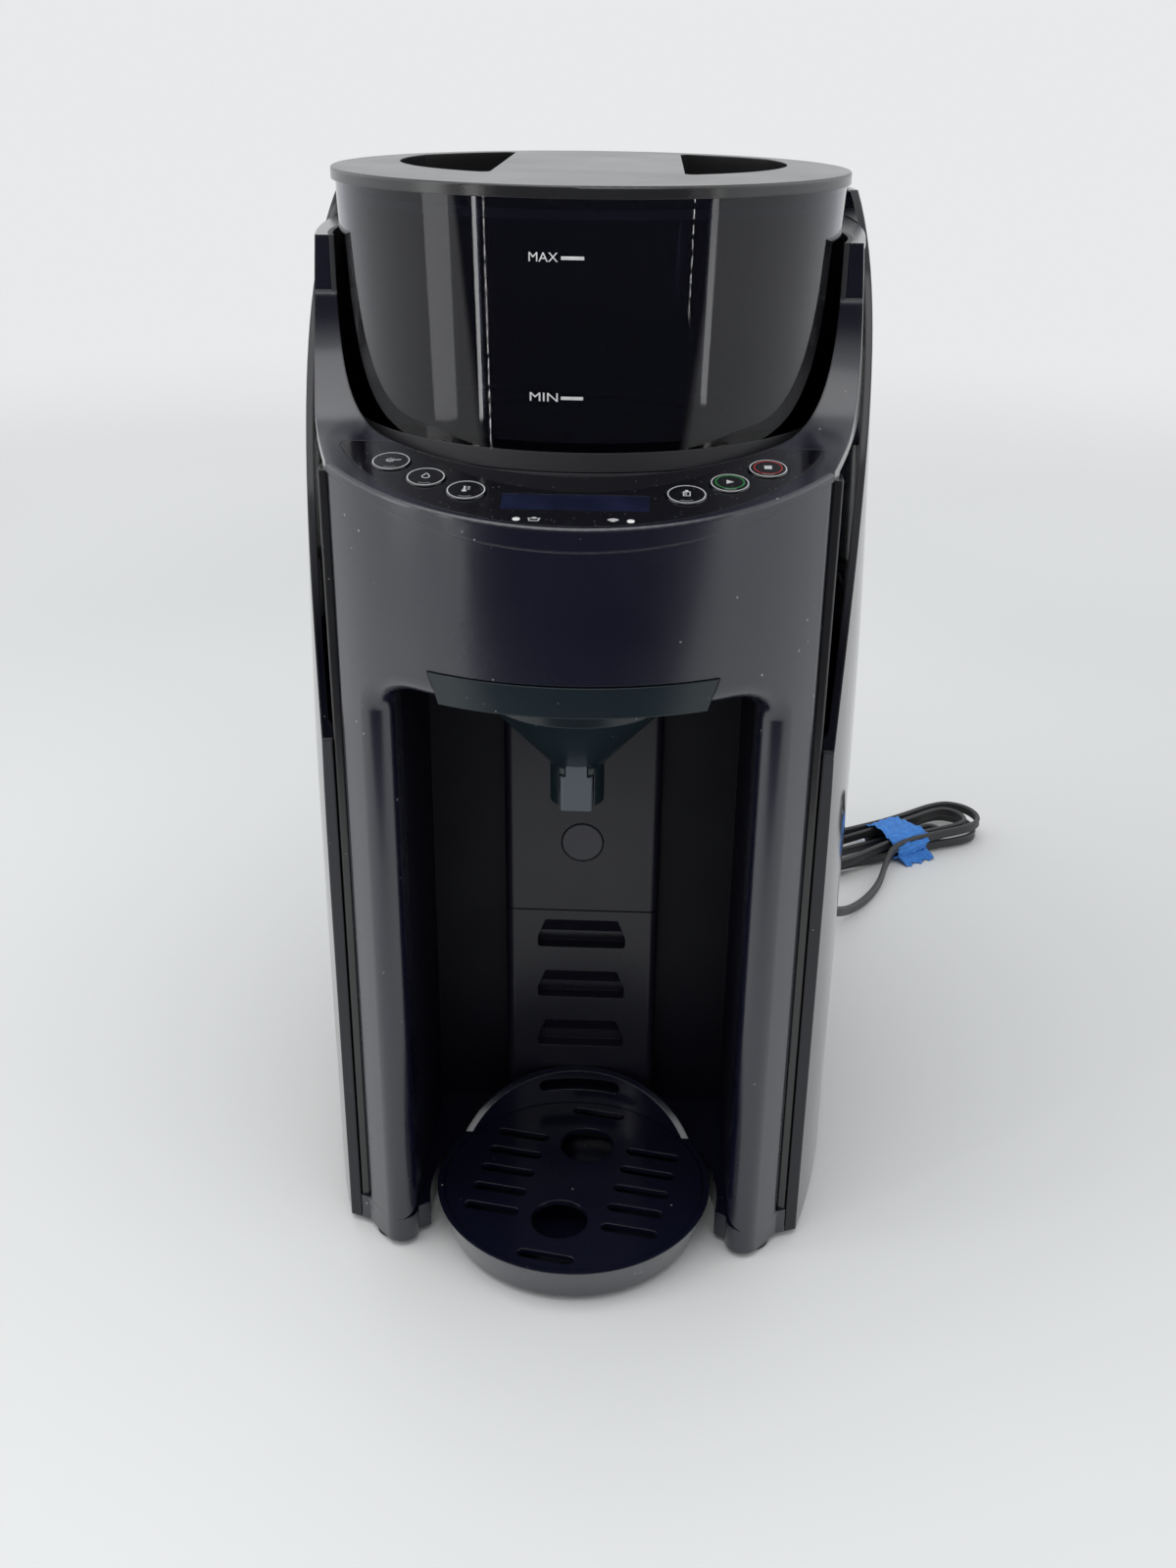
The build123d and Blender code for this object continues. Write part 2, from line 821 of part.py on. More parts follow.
def side_shell(side):
    """Outer side panel: its front edge sweeps back to the lid and its top leans inward."""
    near, far_side = sorted((side * shell_inner_x, side * far))
    keep = slab((near, -far, 0), (far_side, shell_rear_y, far))
    rib_near, rib_far = sorted((side * frame_outer_x, side * far))
    with BuildPart() as shell:
        add(envelope(0, foot_height, shell_top_z))
        add(envelope(shell_wall, foot_height, shell_top_z), mode=Mode.SUBTRACT)
        add(keep, mode=Mode.INTERSECT)
        with BuildSketch(Plane.YZ):
            with BuildLine():
                ThreePointArc(shell_sweep_start, shell_sweep_middle, shell_sweep_end)
                Polyline(
                    shell_sweep_end,
                    (shell_sweep_end[0], shell_top_z + cut_margin),
                    (shell_sweep_start[0] - far, shell_top_z + cut_margin),
                    (shell_sweep_start[0] - far, shell_sweep_start[1]),
                    shell_sweep_start,
                )
            make_face()
        extrude(amount=far, both=True, mode=Mode.SUBTRACT)
        for low_z in (rib_low_z, rib_high_z):
            rib = envelope(shell_wall / 2, low_z, low_z + rib_height)
            add(rib & slab((rib_near, -rib_half_length, 0), (rib_far, rib_half_length, far)))
    return shell.part


for side, hand in ((-1, "left"), (1, "right")):
    save(side_shell(side), f"side_shell_{hand}")

# ---------------------------------------------------------------- rear housing
shelf_bottom_z = tank_bottom_z - rest_gap - shelf_thickness
shelf_top_z = shelf_bottom_z + shelf_thickness
rear_radius = ((rear_y - rear_join_y) ** 2 + rear_join_x**2) / (2 * (rear_y - rear_join_y))
rear_centre_y = rear_y - rear_radius
gland_y = rear_centre_y + sqrt(rear_radius**2 - gland_x**2)
gland_out = Vector(gland_x, gland_y - rear_centre_y, 0).normalized()
gland_plane = Plane(origin=(gland_x, gland_y, gland_z), x_dir=(0, 0, 1), z_dir=gland_out)
shelf_flange_z = shelf_bottom_z + shelf_rebate
rear_keep = slab((-far, shell_rear_y + seam_gap, 0), (far, far, far))

with BuildPart() as rear_housing:
    add(envelope(0, foot_height, shelf_flange_z))
    add(envelope(shell_wall, foot_height, shelf_flange_z), mode=Mode.SUBTRACT)
    add(rear_keep, mode=Mode.INTERSECT)
    with BuildSketch(Plane.XY.offset(base_top_z)):
        for x, y in screw_places[2:]:
            with Locations(Location((x, y, 0), (0, 0, degrees(atan2(y - rear_centre_y, x))))):
                Circle(boss_radius)
                Rectangle(rear_boss_rib, shell_wall, align=(Align.MIN, Align.CENTER))
    extrude(amount=boss_height)
    with Locations(*[Location((x, y, base_top_z), (180, 0, 0)) for x, y in screw_places[2:]]):
        Hole(screw_shank_radius + screw_fit, depth=boss_height - boss_tip)
    with BuildSketch(gland_plane.offset(-2 * shell_wall)):
        Circle(gland_neck_radius)
    extrude(amount=4 * shell_wall, mode=Mode.SUBTRACT)
save(rear_housing.part, "rear_housing")


# ---------------------------------------------------------------- control bezel around the panel
slope = radians(panel_slope)
panel_plane = Plane(
    origin=(0, face_front_y, panel_front_z), x_dir=(1, 0, 0), z_dir=(0, -sin(slope), cos(slope))
)


def panel_height(y):
    """Height of the sloped panel plane at a distance back."""
    return panel_front_z + (y - face_front_y) * tan(slope)


def well_opening(shrink):
    """Plan of the opening that the powder container drops into, flattened behind the panel."""
    with BuildSketch() as opening:
        with Locations((0, container_y)):
            Circle(well_radius - shrink)
        inner_centre = face_front_y + panel_inner_offset * cos(slope) + seam_gap + panel_inner_radius
        with Locations((0, inner_centre)):
            Circle(panel_inner_radius - shrink, mode=Mode.INTERSECT)
    return opening.sketch


def bezel_plan(inset):
    """Plan of the bezel: full face width in front, inside the side shells behind."""
    with BuildSketch() as plan:
        add(plan_outline(shell_wall + seam_gap + inset))
        with BuildSketch(mode=Mode.PRIVATE) as nose:
            add(plan_outline(inset))
            with Locations((0, corner_y + shell_wall + seam_gap)):
                Rectangle(2 * (frame_outer_x - inset), far, align=(Align.CENTER, Align.MAX), mode=Mode.INTERSECT)
        add(nose.sketch)
        with Locations((0, ear_top_y - inset)):
            Rectangle(far, far, align=(Align.CENTER, Align.MIN), mode=Mode.SUBTRACT)
        add(well_opening(-inset), mode=Mode.SUBTRACT)
    return plan.sketch


def panel_crescent(shrink):
    """The control panel's crescent on its own sloped plane, with rounded tips."""
    with BuildSketch() as crescent:
        with Locations((0, panel_edge_offset + panel_outer_radius)):
            Circle(panel_outer_radius)
        with Locations((0, panel_inner_offset + panel_inner_radius)):
            Circle(panel_inner_radius, mode=Mode.SUBTRACT)
        tip_height = (ear_start_y - face_front_y) / cos(slope)
        with Locations((0, tip_height)):
            Rectangle(far, far, align=(Align.CENTER, Align.MIN), mode=Mode.SUBTRACT)
        fillet(crescent.vertices(), panel_end_radius / 2)
        if shrink:
            offset(amount=-shrink, kind=Kind.INTERSECTION)
    return crescent.sketch


with BuildPart() as bezel_hollow:
    with BuildSketch(Plane.XY.offset(seam_centre_z - cut_margin)):
        add(bezel_plan(moulding_wall))
    extrude(amount=far)
    split(bisect_by=panel_plane.offset(-fascia_thickness - panel_floor), keep=Keep.BOTTOM)

with BuildPart() as control_bezel:
    with BuildSketch(Plane.XY.offset(seam_centre_z - cut_margin)):
        add(bezel_plan(0))
    extrude(amount=ear_top_z - seam_centre_z + 2 * cut_margin)
    with BuildSketch(Plane.XZ):
        add(head_region(far / 2, far))
    extrude(amount=far, both=True, mode=Mode.INTERSECT)
    with BuildSketch(Plane.YZ):
        with BuildLine():
            Polyline(
                (ear_start_y, panel_height(ear_start_y)),
                (face_front_y - cut_margin, panel_height(face_front_y - cut_margin)),
                (face_front_y - cut_margin, 0),
                (0, 0),
                (0, ear_top_z),
                (ear_top_y, ear_top_z),
            )
            ThreePointArc(
                (ear_top_y, ear_top_z), (ear_middle_y, ear_middle_z), (ear_start_y, panel_height(ear_start_y))
            )
        make_face()
    extrude(amount=far, both=True, mode=Mode.INTERSECT)
    lip_edges = [
        e
        for e in control_bezel.edges()
        if abs(panel_plane.to_local_coords(e @ 0.5).Z) < 0.1
        and abs(Vector((e @ 0.5).X, (e @ 0.5).Y - face_centre_y).length - face_radius) < 0.1
    ]
    fillet(lip_edges, bezel_lip_radius)
    add(lean_form(shell_wall + seam_gap), mode=Mode.INTERSECT)
    add(bezel_hollow.part, mode=Mode.SUBTRACT)
    with BuildSketch(panel_plane):
        add(panel_crescent(0))
    extrude(amount=-fascia_thickness, mode=Mode.SUBTRACT)
    with BuildSketch(panel_plane.offset(-board_depth)):
        with Locations(*bezel_post_places):
            Circle(bezel_post_radius)
    extrude(amount=board_depth - fascia_thickness - panel_floor)
    with BuildSketch(panel_plane):
        with Locations(*button_places):
            Circle(button_radius + rest_gap)
        with Locations((0, (display_low + display_high) / 2)):
            Rectangle(
                2 * (display_half_width - display_rebate), display_high - display_low - 2 * display_rebate
            )
        with Locations((-lamp_x, lamp_offset), (lamp_x, lamp_offset)):
            Circle(lamp_radius)
    extrude(amount=-2 * (fascia_thickness + panel_floor), mode=Mode.SUBTRACT)
save(control_bezel.part, "control_bezel")


# ---------------------------------------------------------------- fascia, display, lamps and buttons
display_y = (display_low + display_high) / 2
display_height = display_high - display_low
stub_inset = display_rebate + lift_gap

with BuildPart() as control_fascia:
    with BuildSketch(panel_plane.offset(-fascia_thickness)):
        add(panel_crescent(panel_clearance))
        with Locations(*button_places):
            Circle(button_radius + rest_gap, mode=Mode.SUBTRACT)
        with Locations((0, display_y)):
            Rectangle(2 * display_half_width, display_height, mode=Mode.SUBTRACT)
        with Locations((-lamp_x, lamp_offset), (lamp_x, lamp_offset)):
            Circle(lamp_radius, mode=Mode.SUBTRACT)
    extrude(amount=fascia_thickness)
save(control_fascia.part, "control_fascia")

with BuildPart() as display:
    with BuildSketch(panel_plane.offset(-fascia_thickness)):
        with Locations((0, display_y)):
            Rectangle(2 * display_half_width, display_height)
    extrude(amount=fascia_thickness)
    with BuildSketch(panel_plane.offset(-fascia_thickness - panel_floor)):
        with Locations((0, display_y)):
            Rectangle(2 * (display_half_width - stub_inset), display_height - 2 * stub_inset)
    extrude(amount=panel_floor)
save(display.part, "display")

with BuildPart() as status_lamps:
    with BuildSketch(panel_plane.offset(-board_depth)):
        with Locations((-lamp_x, lamp_offset), (lamp_x, lamp_offset)):
            Circle(lamp_radius)
    extrude(amount=board_depth)
save(status_lamps.part, "status_lamps")

flange_top = -fascia_thickness - panel_floor - button_flange_gap
stem_bottom = -board_depth + switch_height + button_travel


def push_button(place):
    """A domed cap, a flange that keeps it in the bezel, and a stem over its switch."""
    with BuildPart() as button:
        with BuildSketch(panel_plane.offset(flange_top)):
            with Locations(place):
                Circle(button_radius)
        extrude(amount=button_rise - flange_top)
        rim = button.edges().sort_by(lambda e: panel_plane.to_local_coords(e.center()).Z)[-1]
        fillet(rim, button_edge_radius)
        with BuildSketch(panel_plane.offset(flange_top - button_flange_thickness)):
            with Locations(place):
                Circle(button_flange_radius)
        extrude(amount=button_flange_thickness)
        with BuildSketch(panel_plane.offset(stem_bottom)):
            with Locations(place):
                Circle(button_stem_radius)
        extrude(amount=flange_top - button_flange_thickness - stem_bottom)
    return button.part


for place, name in zip(button_places, button_names):
    save(push_button(place), f"button_{name}")

with BuildPart() as control_board:
    with BuildSketch(panel_plane.offset(-board_depth - board_thickness)):
        add(panel_crescent(board_inset))
    extrude(amount=board_thickness)
    with BuildSketch(panel_plane.offset(-board_depth)):
        with Locations(*button_places):
            Rectangle(switch_size, switch_size)
    extrude(amount=switch_height - panel_clearance)
save(control_board.part, "control_board")

# ---------------------------------------------------------------- container well, deck and shoulder cover
well_outer = well_radius + well_wall
with BuildPart() as container_well:
    with BuildSketch(Plane.XY.offset(deck_bottom_z)):
        add(well_opening(rest_gap))
    extrude(amount=deck_thickness)
    with BuildSketch(Plane.XY.offset(deck_bottom_z)):
        with Locations((0, container_y)):
            Circle(well_outer)
            Circle(well_radius - rest_gap, mode=Mode.SUBTRACT)
        with Locations((0, ear_top_y)):
            Rectangle(far, far, align=(Align.CENTER, Align.MIN), mode=Mode.INTERSECT)
    extrude(amount=deck_thickness)
    with BuildSketch(Plane.XY.offset(deck_bottom_z)):
        with Locations((0, container_y)):
            Circle(well_outer)
            Circle(well_radius, mode=Mode.SUBTRACT)
        with Locations((0, ear_top_y)):
            Rectangle(far, far, align=(Align.CENTER, Align.MIN), mode=Mode.INTERSECT)
    extrude(amount=shoulder_top_z - deck_bottom_z)
    with Locations((0, container_y, deck_top_z)):
        Hole(shaft_radius + run_fit, depth=deck_thickness)
    with Locations((0, dispense_y, deck_top_z)):
        Hole(chute_radius, depth=deck_thickness)
save(container_well.part, "container_well")


def shoulder_plan(inset):
    """Plan of the cover between the well, the side shells and the tank."""
    with BuildSketch() as plan:
        add(plan_outline(shell_wall + seam_gap + inset))
        with Locations((0, ear_top_y + seam_gap + inset)):
            Rectangle(
                far,
                tank_front_y - lift_gap - ear_top_y - seam_gap - 2 * inset,
                align=(Align.CENTER, Align.MIN),
                mode=Mode.INTERSECT,
            )
        with Locations((0, container_y)):
            Circle(well_outer + inset, mode=Mode.SUBTRACT)
    return plan.sketch


with BuildPart() as shoulder_cover:
    with BuildSketch(Plane.XY.offset(shoulder_top_z - shoulder_depth)):
        add(shoulder_plan(0))
    extrude(amount=shoulder_depth)
    with BuildSketch(Plane.XY.offset(shoulder_top_z - shoulder_depth)):
        add(shoulder_plan(moulding_wall))
    extrude(amount=shoulder_depth - moulding_wall, mode=Mode.SUBTRACT)
    add(lean_form(shell_wall + seam_gap), mode=Mode.INTERSECT)
save(shoulder_cover.part, "shoulder_cover")

# ---------------------------------------------------------------- powder container, base and lid
container_axis = Axis((0, container_y, 0), (0, 0, 1))
container_section = Plane(origin=(0, container_y, 0), x_dir=(1, 0, 0), z_dir=(0, -1, 0))
inlet_y = 2 * container_y - dispense_y
metering_radius = container_y - dispense_y
base_bottom_z = deck_top_z + rest_gap
wheel_bottom_z = base_bottom_z + base_plate_thickness + rest_gap
container_floor_z = wheel_bottom_z + wheel_thickness + rest_gap

with BuildPart() as powder_container:
    with BuildSketch(container_section):
        with BuildLine():
            Polyline(
                (0, container_floor_z),
                (container_base_radius, container_floor_z),
                (container_top_radius, container_top_z),
                (container_top_radius - container_wall, container_top_z),
                (container_base_radius - container_wall, container_floor_z + container_floor),
                (0, container_floor_z + container_floor),
                close=True,
            )
        make_face()
    revolve(axis=container_axis)
    with Locations((0, container_y, container_floor_z + container_floor)):
        Hole(shaft_radius + run_fit, depth=container_floor)
    with Locations((0, inlet_y, container_floor_z + container_floor)):
        Hole(wheel_pocket_radius, depth=container_floor)
save(powder_container.part, "powder_container")

with BuildPart() as container_base:
    with BuildSketch(Plane.XY.offset(base_bottom_z)):
        with Locations((0, container_y)):
            Circle(container_base_radius)
    extrude(amount=container_floor_z - base_bottom_z)
    with BuildSketch(Plane.XY.offset(base_bottom_z + base_plate_thickness)):
        with Locations((0, container_y)):
            Circle(container_base_radius - container_wall)
    extrude(amount=container_floor_z - base_bottom_z, mode=Mode.SUBTRACT)
    with Locations((0, container_y, wheel_bottom_z)):
        Hole(dog_length / 2 + dog_fit + dog_swing_gap, depth=2 * base_plate_thickness)
    with Locations((0, dispense_y, wheel_bottom_z)):
        Hole(wheel_pocket_radius, depth=2 * base_plate_thickness)
save(container_base.part, "container_base")

with BuildPart() as dosing_wheel:
    with BuildSketch(Plane.XY.offset(wheel_bottom_z)):
        with Locations((0, container_y)):
            Circle(wheel_radius)
            with PolarLocations(metering_radius, wheel_pockets, start_angle=-90 + 180 / wheel_pockets):
                Circle(wheel_pocket_radius, mode=Mode.SUBTRACT)
    extrude(amount=wheel_thickness)
    with BuildSketch(Plane.XY.offset(wheel_bottom_z)):
        with Locations((0, container_y)):
            Rectangle(dog_length + 2 * dog_fit, dog_width + 2 * dog_fit)
    extrude(amount=dog_pocket_depth, mode=Mode.SUBTRACT)
save(dosing_wheel.part, "dosing_wheel")

paddle_bottom_z = container_floor_z + container_floor + lift_gap
paddle_reach = container_base_radius - container_wall - paddle_wall_gap
with BuildPart() as stirring_paddle:
    with BuildSketch(Plane.XY.offset(paddle_bottom_z)):
        with Locations((0, container_y)):
            with PolarLocations(0, paddle_arms, start_angle=90):
                SlotOverall(2 * paddle_reach, paddle_arm_width)
            with PolarLocations(paddle_reach / 2, paddle_arms, start_angle=-90):
                Rectangle(paddle_reach, 2 * paddle_arm_width, mode=Mode.SUBTRACT)
    extrude(amount=paddle_arm_height)
    with BuildSketch(Plane.XY.offset(paddle_bottom_z)):
        with Locations((0, container_y)):
            Circle(wheel_hub_radius)
    extrude(amount=paddle_hub_height)
    fillet(stirring_paddle.edges().group_by(Axis.Z)[-1], paddle_hub_round)
    with BuildSketch(Plane.XY.offset(wheel_bottom_z + wheel_thickness)):
        with Locations((0, container_y)):
            Circle(shaft_radius)
    extrude(amount=paddle_bottom_z - wheel_bottom_z - wheel_thickness)
save(stirring_paddle.part, "stirring_paddle")

lid_top_z = container_top_z + lid_thickness
gasket_radius = container_top_radius - container_wall - lift_gap
skirt_radius = gasket_radius - gasket_thickness


def lid_recess(grow):
    """Plan of the two finger recesses either side of the lid's bridge."""
    with BuildSketch() as plan:
        with Locations((0, container_y + recess_shift)):
            Circle(recess_radius)
        with Locations((0, container_y)):
            Circle(lid_radius - recess_rim, mode=Mode.INTERSECT)
            Rectangle(2 * bridge_half_width, far, mode=Mode.SUBTRACT)
        fillet(plan.vertices(), recess_corner_radius)
        if grow:
            offset(amount=grow)
    return plan.sketch


with BuildPart() as lid:
    with BuildSketch(Plane.XY.offset(container_top_z)):
        with Locations((0, container_y)):
            Circle(lid_radius)
    extrude(amount=lid_thickness)
    fillet(lid.edges().group_by(Axis.Z)[-1], lid_edge_radius)
    with BuildSketch(Plane.XY.offset(container_top_z - lid_skirt_height)):
        with Locations((0, container_y)):
            Circle(skirt_radius)
            Circle(skirt_radius - lid_skirt_wall, mode=Mode.SUBTRACT)
    extrude(amount=lid_skirt_height)
    with BuildSketch(Plane.XY.offset(lid_top_z - recess_depth - lid_skirt_wall)):
        add(lid_recess(lid_skirt_wall))
    extrude(amount=recess_depth)
    with BuildSketch(Plane.XY.offset(lid_top_z - recess_depth)):
        add(lid_recess(0))
    extrude(amount=recess_depth, mode=Mode.SUBTRACT)
save(lid.part, "lid")

with BuildPart() as lid_gasket:
    with BuildSketch(Plane.XY.offset(container_top_z - lid_skirt_height + gasket_lift)):
        with Locations((0, container_y)):
            Circle(gasket_radius)
            Circle(skirt_radius, mode=Mode.SUBTRACT)
    extrude(amount=gasket_height)
save(lid_gasket.part, "lid_gasket")

# ---------------------------------------------------------------- wheel drive under the deck
gear_radius = gear_module * gear_teeth / 2
pinion_radius = gear_module * pinion_teeth / 2
motor_y = container_y + gear_radius + pinion_radius + mesh_slack
bracket_z = deck_bottom_z - bracket_drop
bracket_top_z = bracket_z + bracket_thickness
gear_z = bracket_top_z + gear_hub_height + turn_gap
dog_bottom_z = deck_top_z + turn_gap
dog_top_z = wheel_bottom_z + dog_pocket_depth - rest_gap


def spur_gear(teeth, centre_y, turn, bore):
    """Flat gear with straight-sided teeth, narrowed so that the mesh keeps its clearance."""
    root = gear_module * (teeth / 2 - tooth_dedendum)
    height = gear_module * (tooth_addendum + tooth_dedendum)
    half = pi * gear_module * tooth_share / 2
    foot_half = half + flank_slope * tooth_dedendum * gear_module
    tip_half = half - flank_slope * tooth_addendum * gear_module
    with BuildPart() as gear:
        with BuildSketch(Plane.XY.offset(gear_z)):
            with Locations((0, centre_y)):
                Circle(root)
                with PolarLocations(root, teeth, start_angle=turn):
                    Polygon(
                        (-gear_module, -foot_half),
                        (0, -foot_half),
                        (height, -tip_half),
                        (height, tip_half),
                        (0, foot_half),
                        (-gear_module, foot_half),
                        align=None,
                    )
                if bore:
                    Circle(bore, mode=Mode.SUBTRACT)
        extrude(amount=gear_thickness)
    return gear.part


with BuildPart() as drive_gear:
    add(spur_gear(gear_teeth, container_y, 90, shaft_radius))
    with BuildSketch(Plane.XY.offset(gear_z - gear_hub_height)):
        with Locations((0, container_y)):
            Circle(gear_hub_radius)
            Circle(shaft_radius, mode=Mode.SUBTRACT)
    extrude(amount=gear_hub_height)
save(drive_gear.part, "drive_gear")

with BuildPart() as drive_shaft:
    with BuildSketch(Plane.XY.offset(bracket_z)):
        with Locations((0, container_y)):
            Circle(shaft_radius)
    extrude(amount=dog_bottom_z - bracket_z)
    with BuildSketch(Plane.XY.offset(dog_bottom_z)):
        with Locations((0, container_y)):
            Rectangle(dog_length, dog_width)
    extrude(amount=dog_top_z - dog_bottom_z)
save(drive_shaft.part, "drive_shaft")

with BuildPart() as motor_pinion:
    add(spur_gear(pinion_teeth, motor_y, -90 + 180 / pinion_teeth, 0))
    with BuildSketch(Plane.XY.offset(bracket_z - motor_bore_depth + turn_gap)):
        with Locations((0, motor_y)):
            Circle(motor_shaft_radius)
    extrude(amount=gear_z - bracket_z + motor_bore_depth - turn_gap)
save(motor_pinion.part, "motor_pinion")

with BuildPart() as wheel_motor:
    with Locations((0, motor_y, bracket_z)):
        Cylinder(motor_radius, motor_length, align=(Align.CENTER, Align.CENTER, Align.MAX))
        Hole(motor_shaft_radius + run_fit, depth=motor_bore_depth)
    chamfer(wheel_motor.edges().group_by(Axis.Z)[0], motor_chamfer)
save(wheel_motor.part, "wheel_motor")

post_places = [(x, y) for x in (-post_x, post_x) for y in (post_front_y, post_rear_y)]
with BuildPart() as gear_bracket:
    with BuildSketch(Plane.XY.offset(bracket_z)):
        with Locations((0, (post_front_y + post_rear_y) / 2)):
            RectangleRounded(
                2 * (post_x + bracket_margin), post_rear_y - post_front_y + 2 * bracket_margin, bracket_corner_radius
            )
        with Locations((0, container_y)):
            Circle(shaft_radius + run_fit, mode=Mode.SUBTRACT)
        with Locations((0, motor_y)):
            Circle(motor_shaft_radius + lift_gap, mode=Mode.SUBTRACT)
    extrude(amount=bracket_thickness)
    with BuildSketch(Plane.XY.offset(bracket_top_z)):
        with Locations(*post_places):
            Circle(post_radius)
    extrude(amount=deck_bottom_z - bracket_top_z)
save(gear_bracket.part, "gear_bracket")

# ---------------------------------------------------------------- powder chute and spray head
spray_top_z = chute_bottom_z + spray_height
chute_outer = chute_radius + chute_wall
with BuildPart() as powder_chute:
    with BuildSketch(Plane.XY.offset(chute_bottom_z)):
        with Locations((0, dispense_y)):
            Circle(chute_outer)
            Circle(chute_radius, mode=Mode.SUBTRACT)
    extrude(amount=deck_bottom_z - chute_bottom_z)
    with BuildSketch(Plane.XY.offset(deck_bottom_z - chute_wall)):
        with Locations((0, dispense_y)):
            Circle(chute_outer + 2 * chute_wall)
            Circle(chute_radius, mode=Mode.SUBTRACT)
    extrude(amount=chute_wall)
save(powder_chute.part, "powder_chute")

port_z = chute_bottom_z + spray_height / 2
port_end_y = dispense_y + spray_radius + port_length
with BuildPart() as spray_head:
    with BuildSketch(Plane.XY.offset(chute_bottom_z)):
        with Locations((0, dispense_y)):
            Circle(spray_radius)
            Circle(chute_outer, mode=Mode.SUBTRACT)
    extrude(amount=spray_height)
    with BuildSketch(Plane.XZ.offset(-port_end_y)):
        with Locations((0, port_z)):
            Circle(hose_port_radius)
    extrude(amount=port_length + spray_radius - chute_outer - port_inset)
save(spray_head.part, "spray_head")

# ---------------------------------------------------------------- funnel drawer, funnel and nozzle
slab_top_z = drawer_slab_z + drawer_slab
with BuildPart() as plate_ring:
    with BuildSketch(Plane.XY.offset(bay_top_z)):
        with Locations((0, face_centre_y)):
            Circle(face_radius + drawer_proud)
            Circle(face_radius + drawer_proud - drawer_plate, mode=Mode.SUBTRACT)
        with Locations((0, face_centre_y)):
            Rectangle(far, far, align=(Align.CENTER, Align.MAX), mode=Mode.INTERSECT)
    extrude(amount=drawer_top_z - bay_top_z)

with BuildPart() as funnel_drawer:
    with BuildSketch(Plane.XZ):
        add(drawer_front(0))
    extrude(amount=far, both=True)
    add(plate_ring.part, mode=Mode.INTERSECT)
    with BuildSketch(Plane.XY.offset(drawer_slab_z)):
        with Locations((0, face_centre_y)):
            Circle(face_radius + drawer_proud - drawer_plate / 2)
            Rectangle(2 * drawer_slab_half_width, far, mode=Mode.INTERSECT)
        with Locations((0, drawer_back_y)):
            Rectangle(far, far, align=(Align.CENTER, Align.MIN), mode=Mode.SUBTRACT)
        with Locations((0, dispense_y)):
            Circle(drawer_hole_radius, mode=Mode.SUBTRACT)
    extrude(amount=drawer_slab)
save(funnel_drawer.part, "funnel_drawer")

funnel_section = Plane(origin=(0, dispense_y, 0), x_dir=(1, 0, 0), z_dir=(0, -1, 0))
with BuildPart() as mixing_funnel:
    with BuildSketch(funnel_section):
        with BuildLine():
            Polyline(
                (spout_radius, spout_bottom_z),
                (spout_radius, spout_top_z),
                (bowl_radius, bowl_rim_z),
                (bowl_radius, drawer_slab_z),
                (bowl_radius - bowl_wall, drawer_slab_z),
                (bowl_radius - bowl_wall, bowl_rim_z + bowl_wall / 2),
                (spout_radius - bowl_wall, spout_top_z + bowl_wall / 2),
                (spout_radius - bowl_wall, spout_bottom_z),
                close=True,
            )
        make_face()
    revolve(axis=Axis((0, dispense_y, 0), (0, 0, 1)))
    with BuildSketch(Plane.XZ.offset(-dispense_y)):
        with Locations((0, spout_bottom_z)):
            Rectangle(
                2 * (nozzle_half_width + seam_gap),
                nozzle_top_z + seam_gap - spout_bottom_z,
                align=(Align.CENTER, Align.MIN),
            )
            Rectangle(
                2 * (nozzle_tongue_half_width + rest_gap),
                nozzle_tongue_z + seam_gap - spout_bottom_z,
                align=(Align.CENTER, Align.MIN),
            )
    extrude(amount=bowl_radius, mode=Mode.SUBTRACT)
save(mixing_funnel.part, "mixing_funnel")

spout_bore = spout_radius - bowl_wall
with BuildPart() as spout_nozzle:
    with BuildSketch(Plane.XY.offset(nozzle_bottom_z)):
        with Locations((0, dispense_y - nozzle_front)):
            Rectangle(2 * nozzle_half_width, nozzle_front + nozzle_back, align=(Align.CENTER, Align.MIN))
    extrude(amount=nozzle_top_z - nozzle_bottom_z)
    fillet(spout_nozzle.edges().filter_by(Axis.Z).group_by(Axis.Y)[0], nozzle_edge_radius)
    with BuildSketch(Plane.XY.offset(nozzle_bottom_z)):
        with Locations((0, dispense_y - nozzle_front)):
            Rectangle(2 * nozzle_tongue_half_width, bowl_wall, align=(Align.CENTER, Align.MIN))
    extrude(amount=nozzle_tongue_z - nozzle_bottom_z)
    with BuildSketch(Plane.XY.offset(nozzle_top_z - nozzle_collar)):
        with Locations((0, dispense_y)):
            Circle(spout_bore)
    extrude(amount=nozzle_collar)
    with Locations((0, dispense_y, nozzle_top_z)):
        Hole(nozzle_bore, depth=nozzle_top_z - nozzle_bottom_z)
save(spout_nozzle.part, "spout_nozzle")

